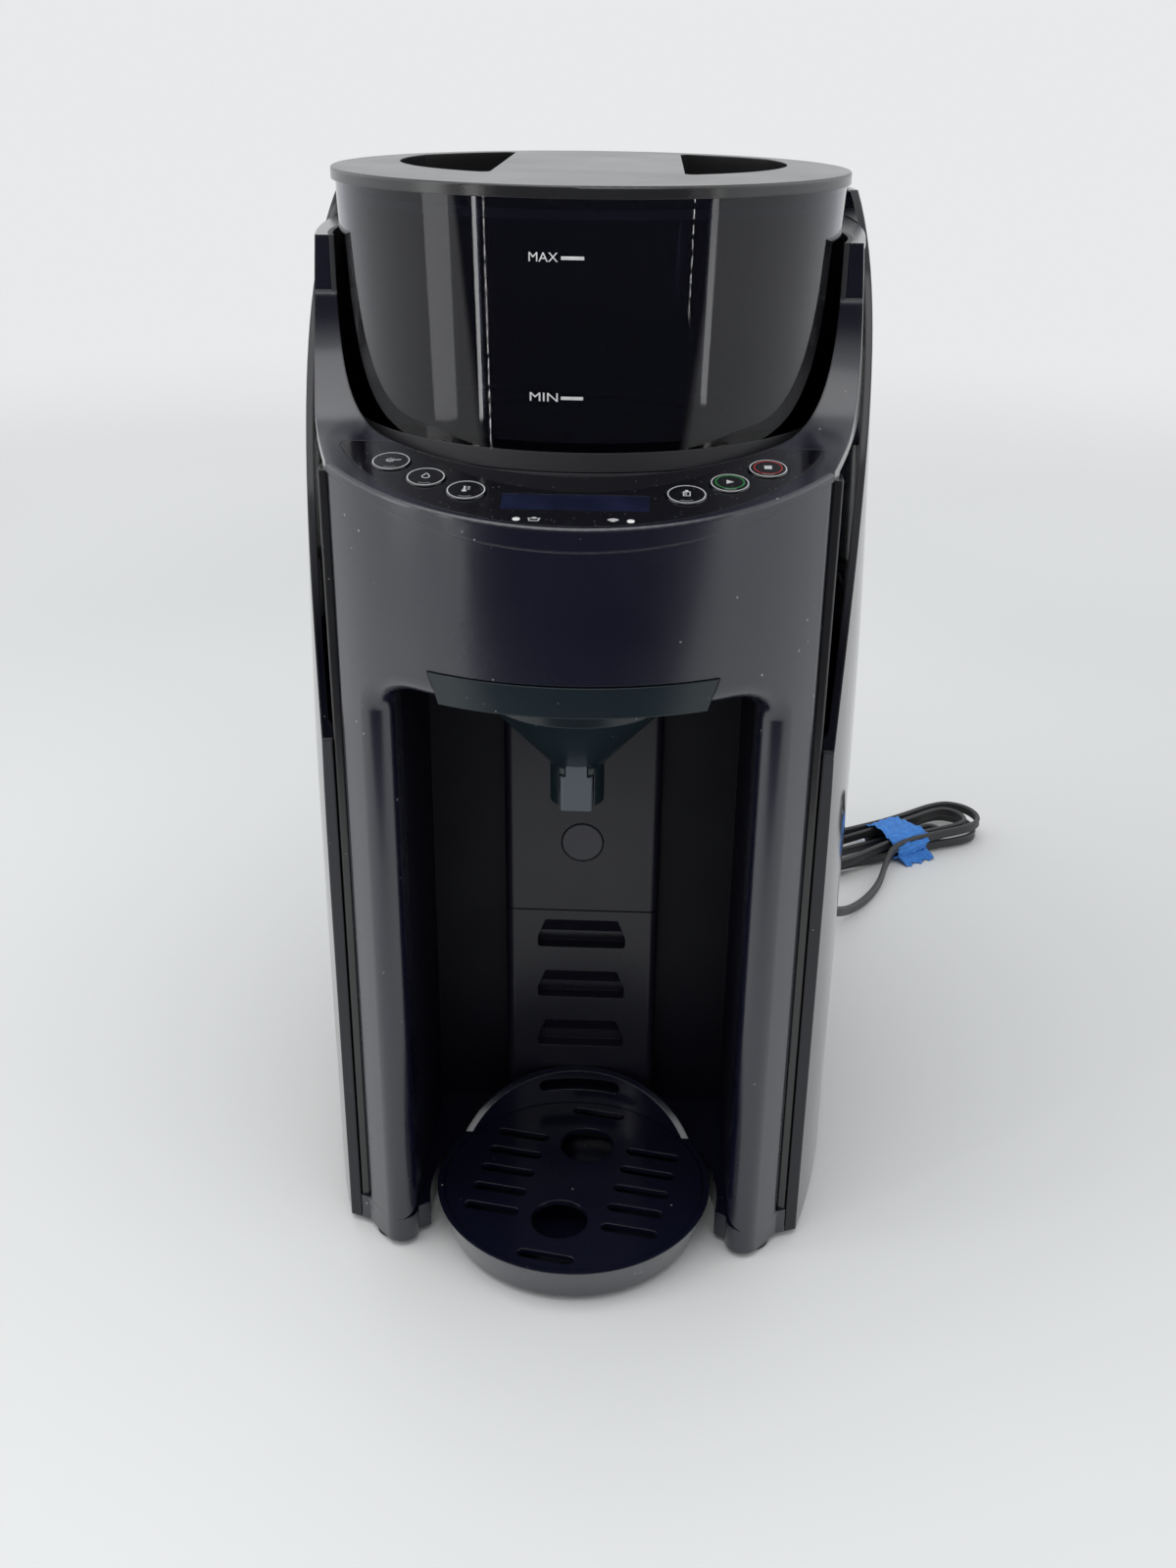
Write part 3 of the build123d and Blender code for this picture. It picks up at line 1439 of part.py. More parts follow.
# ---------------------------------------------------------------- tank shelf with its inlet socket
collar_radius = outlet_radius + outlet_wall
socket_bottom_z = shelf_bottom_z - socket_depth
shelf_bed = envelope(shell_wall + seam_gap, shelf_bottom_z, shelf_top_z)
shelf_flange = envelope(0, shelf_flange_z, shelf_top_z)
with BuildPart() as tank_shelf:
    add(shelf_bed & slab((-far, frame_rear_y, 0), (far, far, far)))
    add(shelf_flange & rear_keep)
    with BuildSketch(Plane.XY.offset(socket_bottom_z)):
        with Locations((0, outlet_y)):
            Circle(socket_radius)
    extrude(amount=socket_depth)
    with BuildSketch(Plane.XY.offset(socket_bottom_z + socket_floor)):
        with Locations((0, outlet_y)):
            Circle(collar_radius + lift_gap)
    extrude(amount=shelf_top_z - socket_bottom_z - socket_floor, mode=Mode.SUBTRACT)
    with BuildSketch(Plane.XY.offset(socket_bottom_z - port_stub)):
        with Locations((0, outlet_y)):
            Circle(hose_port_radius)
    extrude(amount=port_stub)
    with Locations((0, outlet_y, socket_bottom_z + socket_floor)):
        Hole(hose_port_radius / 2, depth=socket_floor + port_stub)
save(tank_shelf.part, "tank_shelf")


# ---------------------------------------------------------------- water tank, its lid and its valve
tank_neck_half_width = side_x(shell_rear_y, lean_depth + tank_side_inset)


def tank_form(inset, bottom, top):
    """Tank body: narrow enough in front to lift past the leaning side shells, and flush behind them."""
    with BuildPart() as form:
        half_width = tank_neck_half_width - inset
        narrow = slab((-half_width, tank_front_y + inset, 0), (half_width, far, far))
        wide = slab((-far, tank_step_y + inset, 0), (far, far, far))
        add(envelope(tank_side_inset + inset, bottom, top) & narrow)
        add(envelope(tank_rear_inset + inset, bottom, top) & wide)
    return form.part


hinge_z = tank_top_z + rest_gap + tank_lid_thickness / 2
hinge_lug_places = [-hinge_lug_x, hinge_lug_x]
pin_length = hinge_lug_width / 2 + rest_gap + hinge_barrel_width


def hinge_disc(centre_x, width, radius):
    """Round knuckle about the tank lid's hinge line."""
    with BuildPart() as disc:
        with BuildSketch(Plane.YZ.offset(centre_x)):
            with Locations((hinge_y, hinge_z)):
                Circle(radius)
        extrude(amount=width / 2, both=True)
    return disc.part


with BuildPart() as water_tank:
    add(tank_form(0, tank_bottom_z, tank_top_z))
    add(tank_form(tank_wall, tank_bottom_z + tank_floor, shell_top_z), mode=Mode.SUBTRACT)
    with BuildSketch(Plane.XY.offset(tank_bottom_z - outlet_drop)):
        with Locations((0, outlet_y)):
            Circle(collar_radius)
    extrude(amount=outlet_drop)
    with Locations((0, outlet_y, tank_bottom_z + tank_floor)):
        Hole(outlet_radius, depth=tank_floor + outlet_drop)
    with BuildSketch(Plane.XY.offset(tank_bottom_z - outlet_drop + guide_lift)):
        with Locations((0, outlet_y)):
            Circle(guide_radius)
            Rectangle(2 * outlet_radius + outlet_wall, guide_arm)
            Circle(valve_stem_radius + run_fit, mode=Mode.SUBTRACT)
    extrude(amount=guide_height)
    for lug_x in hinge_lug_places:
        with BuildSketch(Plane.YZ.offset(lug_x)):
            with BuildLine():
                Polyline(
                    (tank_front_y + tank_wall / 2, hinge_z - 3 * hinge_lug_radius),
                    (tank_front_y + tank_wall / 2, tank_top_z),
                    (hinge_y - hinge_lug_radius, hinge_z),
                    (hinge_y + hinge_lug_radius, hinge_z),
                    (tank_front_y + tank_wall, hinge_z - 3 * hinge_lug_radius),
                    close=True,
                )
            make_face()
        extrude(amount=hinge_lug_width / 2, both=True)
        add(hinge_disc(lug_x, hinge_lug_width, hinge_lug_radius))
    for side in (-1, 1):
        add(hinge_disc(side * (hinge_lug_x - pin_length / 2), pin_length, hinge_pin_radius))
save(water_tank.part, "water_tank")

knuckle_x = hinge_lug_x - hinge_lug_width / 2 - rest_gap - hinge_barrel_width / 2
lid_front_y = tank_front_y + tank_wall + lift_gap
tank_lid_z = tank_top_z + rest_gap
notch_low = (hinge_lug_x - hinge_lug_width / 2 - rest_gap, 0, 0)
notch_high = (hinge_lug_x + hinge_lug_width / 2 + rest_gap, hinge_y + hinge_lug_radius + lift_gap, far)
with BuildPart() as tank_lid:
    add(tank_form(0, tank_lid_z, tank_lid_z + tank_lid_thickness))
    add(slab((-far, 0, 0), (far, lid_front_y, far)), mode=Mode.SUBTRACT)
    for side in (-1, 1):
        inner_x, outer_x = sorted((side * tank_neck_half_width, side * far))
        add(slab((inner_x, 0, 0), (outer_x, far, far)), mode=Mode.SUBTRACT)
    add(slab(notch_low, notch_high), mode=Mode.SUBTRACT)
    add(slab((-notch_high[0], 0, 0), (-notch_low[0], notch_high[1], far)), mode=Mode.SUBTRACT)
    for side in (-1, 1):
        inner_x, outer_x = sorted((side * (tank_neck_half_width - tank_wall - lift_gap), side * far))
        add(slab((inner_x, 0, 0), (outer_x, hinge_y, far)), mode=Mode.SUBTRACT)
    for side in (-1, 1):
        add(hinge_disc(side * knuckle_x, hinge_barrel_width, hinge_lug_radius))
        add(hinge_disc(side * knuckle_x, 2 * hinge_barrel_width, hinge_pin_radius + run_fit), mode=Mode.SUBTRACT)
save(tank_lid.part, "tank_lid")

with BuildPart() as tank_valve:
    with BuildSketch(Plane.XY.offset(tank_bottom_z + tank_floor)):
        with Locations((0, outlet_y)):
            Circle(valve_radius)
    extrude(amount=valve_thickness)
    fillet(tank_valve.edges().group_by(Axis.Z)[-1], valve_edge_radius)
    with BuildSketch(Plane.XY.offset(tank_bottom_z - outlet_drop + guide_lift / 2)):
        with Locations((0, outlet_y)):
            Circle(valve_stem_radius)
    extrude(amount=outlet_drop + tank_floor - guide_lift / 2)
save(tank_valve.part, "tank_valve")

# ---------------------------------------------------------------- pump, heater, hoses and power board
pump_axis_z = base_top_z + pump_base_height + pump_radius
pump_front_y = pump_y - pump_length / 2
with BuildPart() as water_pump:
    with BuildSketch(Plane.XZ.offset(-pump_front_y)):
        with Locations((pump_x, pump_axis_z)):
            Circle(pump_radius)
    extrude(amount=-pump_length)
    chamfer(water_pump.edges().group_by(Axis.Y)[0], pump_chamfer)
    with BuildSketch(Plane.XY.offset(base_top_z)):
        with Locations((pump_x, pump_y)):
            Rectangle(2 * (pump_radius - pump_base_inset), pump_length - 4 * pump_base_inset)
    extrude(amount=pump_base_height + pump_radius / 2)
    with BuildSketch(Plane.XY.offset(pump_axis_z)):
        with Locations((pump_x, pump_inlet_y), (pump_x, pump_outlet_y)):
            Circle(hose_port_radius)
    extrude(amount=pump_radius + port_stub)
save(water_pump.part, "water_pump")

with BuildPart() as water_heater:
    with BuildSketch(Plane.XY.offset(base_top_z)):
        with Locations((heater_x, heater_y)):
            Circle(heater_radius)
    extrude(amount=heater_top_z - base_top_z)
    fillet(water_heater.edges().group_by(Axis.Z)[-1], heater_cap)
    with BuildSketch(Plane.XY.offset(heater_top_z)):
        with Locations((heater_x, heater_y)):
            Circle(heater_neck_radius)
    extrude(amount=heater_neck)
    with BuildSketch(Plane.YZ.offset(heater_x - heater_radius - port_stub)):
        with Locations((heater_y, heater_port_z)):
            Circle(hose_port_radius)
    extrude(amount=heater_radius)
save(water_heater.part, "water_heater")


def hose(points, radius, bend):
    """Round tube along straight runs joined by equal bends."""
    with BuildPart() as tube:
        with BuildLine() as route:
            FilletPolyline(*points, radius=bend)
        with BuildSketch(Plane(origin=route.line @ 0, z_dir=route.line % 0)):
            Circle(radius)
        sweep(path=route.line)
    return tube.part


pump_port_z = pump_axis_z + pump_radius + port_stub
suction_points = [
    (0, outlet_y, socket_bottom_z - port_stub),
    (0, outlet_y, hose_low_z),
    (pump_x, pump_inlet_y, hose_low_z),
    (pump_x, pump_inlet_y, pump_port_z),
]
save(hose(suction_points, hose_radius, hose_bend), "suction_hose")

heater_port_x = heater_x - heater_radius - port_stub
pressure_points = [
    (pump_x, pump_outlet_y, pump_port_z),
    (pump_x, pump_outlet_y, heater_port_z),
    (pump_x + 2 * hose_bend, pump_outlet_y, heater_port_z),
    (heater_port_x - 2 * hose_bend, heater_y, heater_port_z),
    (heater_port_x, heater_y, heater_port_z),
]
save(hose(pressure_points, hose_radius, hose_bend / 2), "pressure_hose")

hot_water_points = [
    (0, port_end_y, port_z),
    (0, port_end_y + 2 * hose_bend, port_z),
    (heater_x, hose_side_y - 4 * hose_bend, port_z),
    (heater_x, hose_side_y, port_z),
    (heater_x, hose_side_y, hose_high_z),
    (heater_x, heater_y, hose_high_z),
    (heater_x, heater_y, heater_top_z + heater_neck),
]
save(hose(hot_water_points, hose_radius, hose_bend), "hot_water_hose")

with BuildPart() as power_board:
    with BuildSketch(Plane.XZ.offset(-power_board_y)):
        with Locations((0, base_top_z + power_board_height / 2)):
            Rectangle(2 * power_board_half_width, power_board_height)
    extrude(amount=-board_thickness)
    with BuildSketch(Plane.XZ.offset(-power_board_y)):
        with Locations(*[(x, base_top_z + z) for x, z in relay_places]):
            Rectangle(relay_width, relay_height)
        with Locations((transformer_place[0], base_top_z + transformer_place[1])):
            Rectangle(transformer_width, transformer_height)
    extrude(amount=component_depth)
save(power_board.part, "power_board")

# ---------------------------------------------------------------- drip tray and grate
tray_inner_radius = tray_radius - tray_wall - lift_gap
grate_radius = tray_inner_radius - grate_gap
with BuildPart() as drip_tray:
    with BuildSketch(funnel_section):
        with BuildLine():
            Polyline(
                (0, tray_bottom_z),
                (tray_foot_radius, tray_bottom_z),
                (tray_radius, tray_rim_z),
                (tray_radius, tray_back_z),
                (tray_inner_radius, tray_back_z),
                (tray_inner_radius, tray_ledge_z),
                (tray_inner_radius - tray_ledge, tray_ledge_z),
                (tray_foot_radius - tray_wall, tray_bottom_z + tray_floor),
                (0, tray_bottom_z + tray_floor),
                close=True,
            )
        make_face()
    revolve(axis=Axis((0, dispense_y, 0), (0, 0, 1)))
    fillet(drip_tray.edges().group_by(Axis.Z)[0], tray_edge_radius)
    with BuildSketch(Plane.YZ):
        with BuildLine():
            ThreePointArc((tray_ramp_y, tray_rim_z), tray_ramp_middle, (column_front_y, tray_back_z))
            Polyline(
                (column_front_y, tray_back_z),
                (column_front_y, tray_back_z + cut_margin),
                (face_front_y - tray_radius, tray_back_z + cut_margin),
                (face_front_y - tray_radius, tray_rim_z),
                (tray_ramp_y, tray_rim_z),
            )
        make_face()
    extrude(amount=tray_radius + cut_margin, both=True, mode=Mode.SUBTRACT)
    with BuildSketch(Plane.XZ.offset(-column_front_y)):
        with Locations((0, tray_slot_low_z + tray_slot_height / 2)):
            SlotOverall(2 * tray_slot_half_width, tray_slot_height)
    extrude(amount=tray_radius / 2, mode=Mode.SUBTRACT)
    with BuildSketch(Plane.XY.offset(scoop_sill_z + rest_gap)):
        with Locations((0, column_front_y + scoop_depth - 2 * lift_gap)):
            Rectangle(2 * tongue_half_width, 2 * scoop_depth, align=(Align.CENTER, Align.MAX))
        with Locations((0, dispense_y)):
            Circle(tray_inner_radius + tray_wall / 2, mode=Mode.SUBTRACT)
    extrude(amount=tongue_thickness)
save(drip_tray.part, "drip_tray")

with BuildPart() as tray_grate:
    with BuildSketch(Plane.XY.offset(grate_top_z - grate_thickness)):
        with Locations(Location((0, dispense_y, 0), (0, 0, grate_turn))):
            Circle(grate_radius)
            with Locations((0, -finger_hole_offset), (0, finger_hole_offset)):
                Circle(finger_hole_radius, mode=Mode.SUBTRACT)
            with Locations((-slot_row_offset, 0), (slot_row_offset, 0)):
                with GridLocations(0, slot_pitch, 1, slot_rows):
                    SlotOverall(slot_length, slot_width, mode=Mode.SUBTRACT)
            with Locations((0, -end_slot_offset), (0, end_slot_offset)):
                SlotOverall(slot_length, slot_width, mode=Mode.SUBTRACT)
    extrude(amount=grate_thickness)
save(tray_grate.part, "tray_grate")

# ---------------------------------------------------------------- power cord
def bend_radii(points):
    """The largest bend at each corner that leaves a short straight on both runs."""
    radii = []
    for before, at, after in zip(points, points[1:], points[2:]):
        arriving = Vector(*at) - Vector(*before)
        leaving = Vector(*after) - Vector(*at)
        turn = radians(arriving.get_angle(leaving))
        radii.append(bend_share * min(arriving.length, leaving.length) / tan(turn / 2))
    return radii


with BuildPart() as cord_gland:
    with BuildSketch(gland_plane):
        Circle(gland_flange_radius)
    extrude(amount=gland_flange)
    with BuildSketch(gland_plane.offset(-2 * shell_wall)):
        Circle(gland_neck_radius)
    extrude(amount=2 * shell_wall)
    with BuildSketch(gland_plane.offset(gland_flange)):
        Circle(relief_root_radius)
    with BuildSketch(gland_plane.offset(gland_flange + relief_length)):
        Circle(relief_tip_radius)
    loft()
save(cord_gland.part, "cord_gland")

cord_start = gland_plane.origin + gland_out * (gland_flange + relief_length)
lead_route = [tuple(cord_start), *lead_points, lead_end]
plug_axis = Vector(cos(radians(plug_angle)), sin(radians(plug_angle)), 0)
plug_entry = Vector(*plug_centre, plug_height / 2) + plug_axis * (plug_length / 2 - cord_radius)
plug_route = [*plug_points, tuple(plug_entry + plug_axis * plug_lead), tuple(plug_entry)]
with BuildPart() as power_cord:
    for route_points in (lead_route, plug_route):
        radii = bend_radii(route_points)
        print("cord bend radii", [round(value) for value in radii])
        add(hose(route_points, cord_radius, radii))
save(power_cord.part, "power_cord")

with BuildPart() as cord_hank:
    with BuildSketch(Plane.XY.offset(tie_thickness)):
        with Locations(Location((*hank_centre, 0), (0, 0, hank_angle))):
            SlotOverall(hank_length, hank_width)
    extrude(amount=hank_height)
    fillet(cord_hank.edges().group_by(Axis.Z)[0] + cord_hank.edges().group_by(Axis.Z)[-1], hank_round)
save(cord_hank.part, "cord_hank")

tie_plane = Plane(
    origin=(*hank_centre, tie_thickness + hank_height / 2),
    x_dir=(-sin(radians(hank_angle)), cos(radians(hank_angle)), 0),
    z_dir=(cos(radians(hank_angle)), sin(radians(hank_angle)), 0),
).offset(tie_shift - tie_width / 2)
with BuildPart() as cord_tie:
    with BuildSketch(tie_plane):
        RectangleRounded(
            hank_width + 2 * tie_thickness, hank_height + 2 * tie_thickness, hank_round + tie_thickness
        )
        RectangleRounded(hank_width, hank_height, hank_round, mode=Mode.SUBTRACT)
    extrude(amount=tie_width)
save(cord_tie.part, "cord_tie")

with BuildPart() as cord_plug:
    with BuildSketch(Plane.XY):
        with Locations(Location((*plug_centre, 0), (0, 0, plug_angle))):
            Rectangle(plug_length, plug_width)
    extrude(amount=plug_height)
    fillet(cord_plug.edges(), plug_round)
    with BuildSketch(Plane.XY.offset((plug_height - blade_width) / 2)):
        with Locations(Location((*plug_centre, 0), (0, 0, plug_angle))):
            with Locations((-plug_length / 2, -blade_spacing / 2), (-plug_length / 2, blade_spacing / 2)):
                Rectangle(2 * blade_length, blade_thickness)
    extrude(amount=blade_width)
save(cord_plug.part, "cord_plug")
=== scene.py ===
import json
from math import cos, pi, radians, sin

import bmesh
import bpy
from mathutils import Matrix, Vector


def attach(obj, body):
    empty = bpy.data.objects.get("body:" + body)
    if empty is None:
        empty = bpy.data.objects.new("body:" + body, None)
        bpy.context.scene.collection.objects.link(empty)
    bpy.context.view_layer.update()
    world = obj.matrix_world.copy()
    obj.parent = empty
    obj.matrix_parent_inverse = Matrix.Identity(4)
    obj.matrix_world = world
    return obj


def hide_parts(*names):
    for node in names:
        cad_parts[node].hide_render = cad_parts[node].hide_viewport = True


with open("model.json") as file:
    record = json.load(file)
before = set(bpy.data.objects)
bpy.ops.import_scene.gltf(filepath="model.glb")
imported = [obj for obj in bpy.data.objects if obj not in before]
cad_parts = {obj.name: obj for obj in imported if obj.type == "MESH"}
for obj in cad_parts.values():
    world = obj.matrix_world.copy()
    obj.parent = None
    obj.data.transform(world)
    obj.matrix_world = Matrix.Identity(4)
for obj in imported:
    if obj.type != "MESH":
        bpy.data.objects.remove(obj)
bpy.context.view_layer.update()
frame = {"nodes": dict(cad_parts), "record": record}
nodes = frame["nodes"]
scene = bpy.context.scene
scene.view_settings.view_transform = "Standard"
print("frame loaded with", len(nodes), "nodes")

# camera a little above the machine, looking down at its front
cameraSetup = {
    "place": (0.0229, -0.6534, 0.4668),
    "turn": 1.966,
    "pitch": 25.09,
    "roll": 0.697,
    "lens": 36.0,
    "filmHeight": 36.0,
}


def makeCamera(setup):
    data = bpy.data.cameras.new("viewCamera")
    data.sensor_fit = "VERTICAL"
    data.sensor_height = setup["filmHeight"]
    data.lens = setup["lens"]
    data.clip_start = 0.01
    data.clip_end = 50.0
    camera = bpy.data.objects.new("viewCamera", data)
    scene.collection.objects.link(camera)
    turn = Matrix.Rotation(radians(setup["turn"]), 4, "Z")
    pitch = Matrix.Rotation(radians(90 - setup["pitch"]), 4, "X")
    roll = Matrix.Rotation(radians(setup["roll"]), 4, "Z")
    camera.matrix_world = Matrix.Translation(setup["place"]) @ turn @ pitch @ roll
    scene.camera = camera


makeCamera(cameraSetup)
print("camera placed")


# small helpers used by every piece
def addPiece(name, mesh, body, material):
    piece = bpy.data.objects.new(name, mesh)
    scene.collection.objects.link(piece)
    mesh.materials.clear()
    mesh.materials.append(material)
    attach(piece, body)
    return piece


def meshFrom(bm, name, smooth=True):
    for face in bm.faces:
        face.smooth = smooth
    mesh = bpy.data.meshes.new(name)
    bm.to_mesh(mesh)
    bm.free()
    return mesh


def newFinish(name):
    material = bpy.data.materials.new(name)
    material.use_nodes = True
    tree = material.node_tree
    return material, tree, tree.nodes["Principled BSDF"]


def objectPlace(tree, scale=(1, 1, 1)):
    coords = tree.nodes.new("ShaderNodeTexCoord")
    mapping = tree.nodes.new("ShaderNodeMapping")
    tree.links.new(coords.outputs["Object"], mapping.inputs["Vector"])
    mapping.inputs["Scale"].default_value = scale
    return mapping.outputs["Vector"]


def uvPlace(tree, scale=(1, 1, 1)):
    coords = tree.nodes.new("ShaderNodeUVMap")
    mapping = tree.nodes.new("ShaderNodeMapping")
    tree.links.new(coords.outputs["UV"], mapping.inputs["Vector"])
    mapping.inputs["Scale"].default_value = scale
    return mapping.outputs["Vector"]


def noiseField(tree, place, scale, detail=3.0, rough=0.55):
    field = tree.nodes.new("ShaderNodeTexNoise")
    tree.links.new(place, field.inputs["Vector"])
    field.inputs["Scale"].default_value = scale
    field.inputs["Detail"].default_value = detail
    field.inputs["Roughness"].default_value = rough
    return field.outputs["Fac"]


def spanned(tree, value, low, high, first, last, smooth=False):
    node = tree.nodes.new("ShaderNodeMapRange")
    if smooth:
        node.interpolation_type = "SMOOTHSTEP"
    tree.links.new(value, node.inputs["Value"])
    node.inputs["From Min"].default_value = low
    node.inputs["From Max"].default_value = high
    node.inputs["To Min"].default_value = first
    node.inputs["To Max"].default_value = last
    return node.outputs["Result"]


def mathNode(tree, how, first, second):
    node = tree.nodes.new("ShaderNodeMath")
    node.operation = how
    for place, value in enumerate((first, second)):
        if isinstance(value, (int, float)):
            node.inputs[place].default_value = value
        else:
            tree.links.new(value, node.inputs[place])
    return node.outputs["Value"]


def mixed(tree, factor, first, second):
    node = tree.nodes.new("ShaderNodeMix")
    node.data_type = "RGBA"
    tree.links.new(factor, node.inputs["Factor"])
    for socket, value in (("A", first), ("B", second)):
        target = next(s for s in node.inputs if s.name == socket and s.type == "RGBA")
        if isinstance(value, tuple):
            target.default_value = (*value, 1)
        else:
            tree.links.new(value, target)
    return next(s for s in node.outputs if s.type == "RGBA")


def bumped(tree, shader, height, distance, strength=1.0, edge=0.0):
    node = tree.nodes.new("ShaderNodeBump")
    node.inputs["Distance"].default_value = distance
    node.inputs["Strength"].default_value = strength
    if edge:
        softened = tree.nodes.new("ShaderNodeBevel")
        softened.samples = 4
        softened.inputs["Radius"].default_value = edge
        tree.links.new(softened.outputs["Normal"], node.inputs["Normal"])
    tree.links.new(height, node.inputs["Height"])
    tree.links.new(node.outputs["Normal"], shader.inputs["Normal"])


def scaledColour(colour, factor):
    return tuple(part * factor for part in colour)


def drifting(tree, value, first, second):
    # the middle of a noise field's range, spread between two values
    return spanned(tree, value, 0.3, 0.7, first, second)


def blendedSurface(tree, factor, first, second):
    blend = tree.nodes.new("ShaderNodeMixShader")
    tree.links.new(factor, blend.inputs["Fac"])
    tree.links.new(first, blend.inputs[1])
    tree.links.new(second, blend.inputs[2])
    tree.links.new(blend.outputs["Shader"], tree.nodes["Material Output"].inputs["Surface"])


def dustSpecks(tree, place, size, share):
    # sparse small specks: cells of a Voronoi field, kept only where a noise is high
    cells = tree.nodes.new("ShaderNodeTexVoronoi")
    tree.links.new(place, cells.inputs["Vector"])
    cells.inputs["Scale"].default_value = 1 / size
    dot = spanned(tree, cells.outputs["Distance"], 0.05, 0.09, 1, 0)
    least = 0.62 - 0.3 * share
    patch = spanned(tree, noiseField(tree, place, 60, 2), least, least + 0.04, 0, 1)
    return mathNode(tree, "MULTIPLY", dot, patch)


# moulded plastic: colour and sheen drift a little, with a fine grain and a few specks of dust
def mouldedFinish(look):
    material, tree, shader = newFinish(look["name"])
    place = objectPlace(tree)
    drift = noiseField(tree, place, look.get("driftScale", 18))
    grain = noiseField(tree, place, look.get("grainScale", 2600), 2)
    dim, bright = scaledColour(look["colour"], 0.9), scaledColour(look["colour"], 1.1)
    colour = mixed(tree, drifting(tree, drift, 0, 1), dim, bright)
    sheen = drifting(tree, drift, look["roughness"] - look["drift"], look["roughness"] + look["drift"])
    if look.get("dust"):
        specks = dustSpecks(tree, place, look.get("dustSize", 0.0035), look["dust"])
        colour = mixed(tree, specks, colour, (0.3, 0.3, 0.31))
        sheen = mathNode(tree, "ADD", sheen, mathNode(tree, "MULTIPLY", specks, 0.4))
    tree.links.new(colour, shader.inputs["Base Color"])
    tree.links.new(sheen, shader.inputs["Roughness"])
    shader.inputs["IOR"].default_value = look.get("ior", 1.5)
    if look.get("coat"):
        shader.inputs["Coat Weight"].default_value = look["coat"]
        shader.inputs["Coat Roughness"].default_value = look.get("coatRoughness", 0.05)
    if look.get("flatSheen"):
        shader.inputs["Specular IOR Level"].default_value = look["flatSheen"]
    depth, strength = look.get("grainDepth", 0.00002), look.get("grainStrength", 0.5)
    bumped(tree, shader, grain, depth, strength, look.get("edge", 0.0006))
    return material


# tinted clear plastic with faint streaks of wiping
def clearFinish(look):
    material, tree, shader = newFinish(look["name"])
    place = objectPlace(tree)
    haze = noiseField(tree, place, 24)
    streaks = noiseField(tree, objectPlace(tree, (260, 260, 14)), 1.0, 4)
    dim, bright = scaledColour(look["colour"], 0.95), scaledColour(look["colour"], 1.05)
    tree.links.new(mixed(tree, drifting(tree, haze, 0, 1), dim, bright), shader.inputs["Base Color"])
    wiped = spanned(tree, streaks, 0.45, 0.75, look["roughness"], look["roughness"] + 0.05)
    tree.links.new(wiped, shader.inputs["Roughness"])
    shader.inputs["Transmission Weight"].default_value = 1.0
    shader.inputs["IOR"].default_value = 1.49
    bumped(tree, shader, noiseField(tree, place, 55, 1), 0.00006, 0.25)
    return material


# machined or drawn metal with fine lines along one axis
def metalFinish(look):
    material, tree, shader = newFinish(look["name"])
    lines = noiseField(tree, objectPlace(tree, look["lineScale"]), 1.0, 4)
    drift = noiseField(tree, objectPlace(tree), 40)
    dim, bright = scaledColour(look["colour"], 0.85), scaledColour(look["colour"], 1.1)
    tree.links.new(mixed(tree, lines, dim, bright), shader.inputs["Base Color"])
    sheen = drifting(tree, drift, look["roughness"] - 0.06, look["roughness"] + 0.06)
    tree.links.new(sheen, shader.inputs["Roughness"])
    shader.inputs["Metallic"].default_value = 1.0
    bumped(tree, shader, lines, 0.00003, 0.4)
    return material


# solder mask with copper tracks showing faintly under it
def boardFinish(look):
    material, tree, shader = newFinish(look["name"])
    tracks = tree.nodes.new("ShaderNodeTexBrick")
    tree.links.new(objectPlace(tree), tracks.inputs["Vector"])
    tracks.inputs["Scale"].default_value = 160
    tracks.inputs["Mortar Size"].default_value = 0.03
    tracks.inputs["Color1"].default_value = (*look["colour"], 1)
    tracks.inputs["Color2"].default_value = (*scaledColour(look["colour"], 1.35), 1)
    tracks.inputs["Mortar"].default_value = (*scaledColour(look["colour"], 2.2), 1)
    tree.links.new(tracks.outputs["Color"], shader.inputs["Base Color"])
    sheen = drifting(tree, noiseField(tree, objectPlace(tree), 60), 0.25, 0.4)
    tree.links.new(sheen, shader.inputs["Roughness"])
    bumped(tree, shader, tracks.outputs["Fac"], 0.00003, 0.4)
    return material


# unlit liquid-crystal window: deep blue with soft lighter patches and faint cell lines
def displayFinish(look):
    material, tree, shader = newFinish(look["name"])
    place = objectPlace(tree)
    cells = tree.nodes.new("ShaderNodeTexBrick")
    tree.links.new(place, cells.inputs["Vector"])
    cells.inputs["Scale"].default_value = 420
    cells.inputs["Mortar Size"].default_value = 0.05
    cells.inputs["Color1"].default_value = (*look["colour"], 1)
    cells.inputs["Color2"].default_value = (*scaledColour(look["colour"], 1.25), 1)
    cells.inputs["Mortar"].default_value = (*scaledColour(look["colour"], 0.6), 1)
    cloud = spanned(tree, noiseField(tree, place, 45, 2), 0.35, 0.65, 0, 1)
    clouded = mixed(tree, cloud, cells.outputs["Color"], scaledColour(look["colour"], 1.6))
    tree.links.new(clouded, shader.inputs["Base Color"])
    tree.links.new(drifting(tree, noiseField(tree, place, 90), 0.1, 0.22), shader.inputs["Roughness"])
    shader.inputs["Coat Weight"].default_value = 0.6
    shader.inputs["Coat Roughness"].default_value = 0.06
    return material


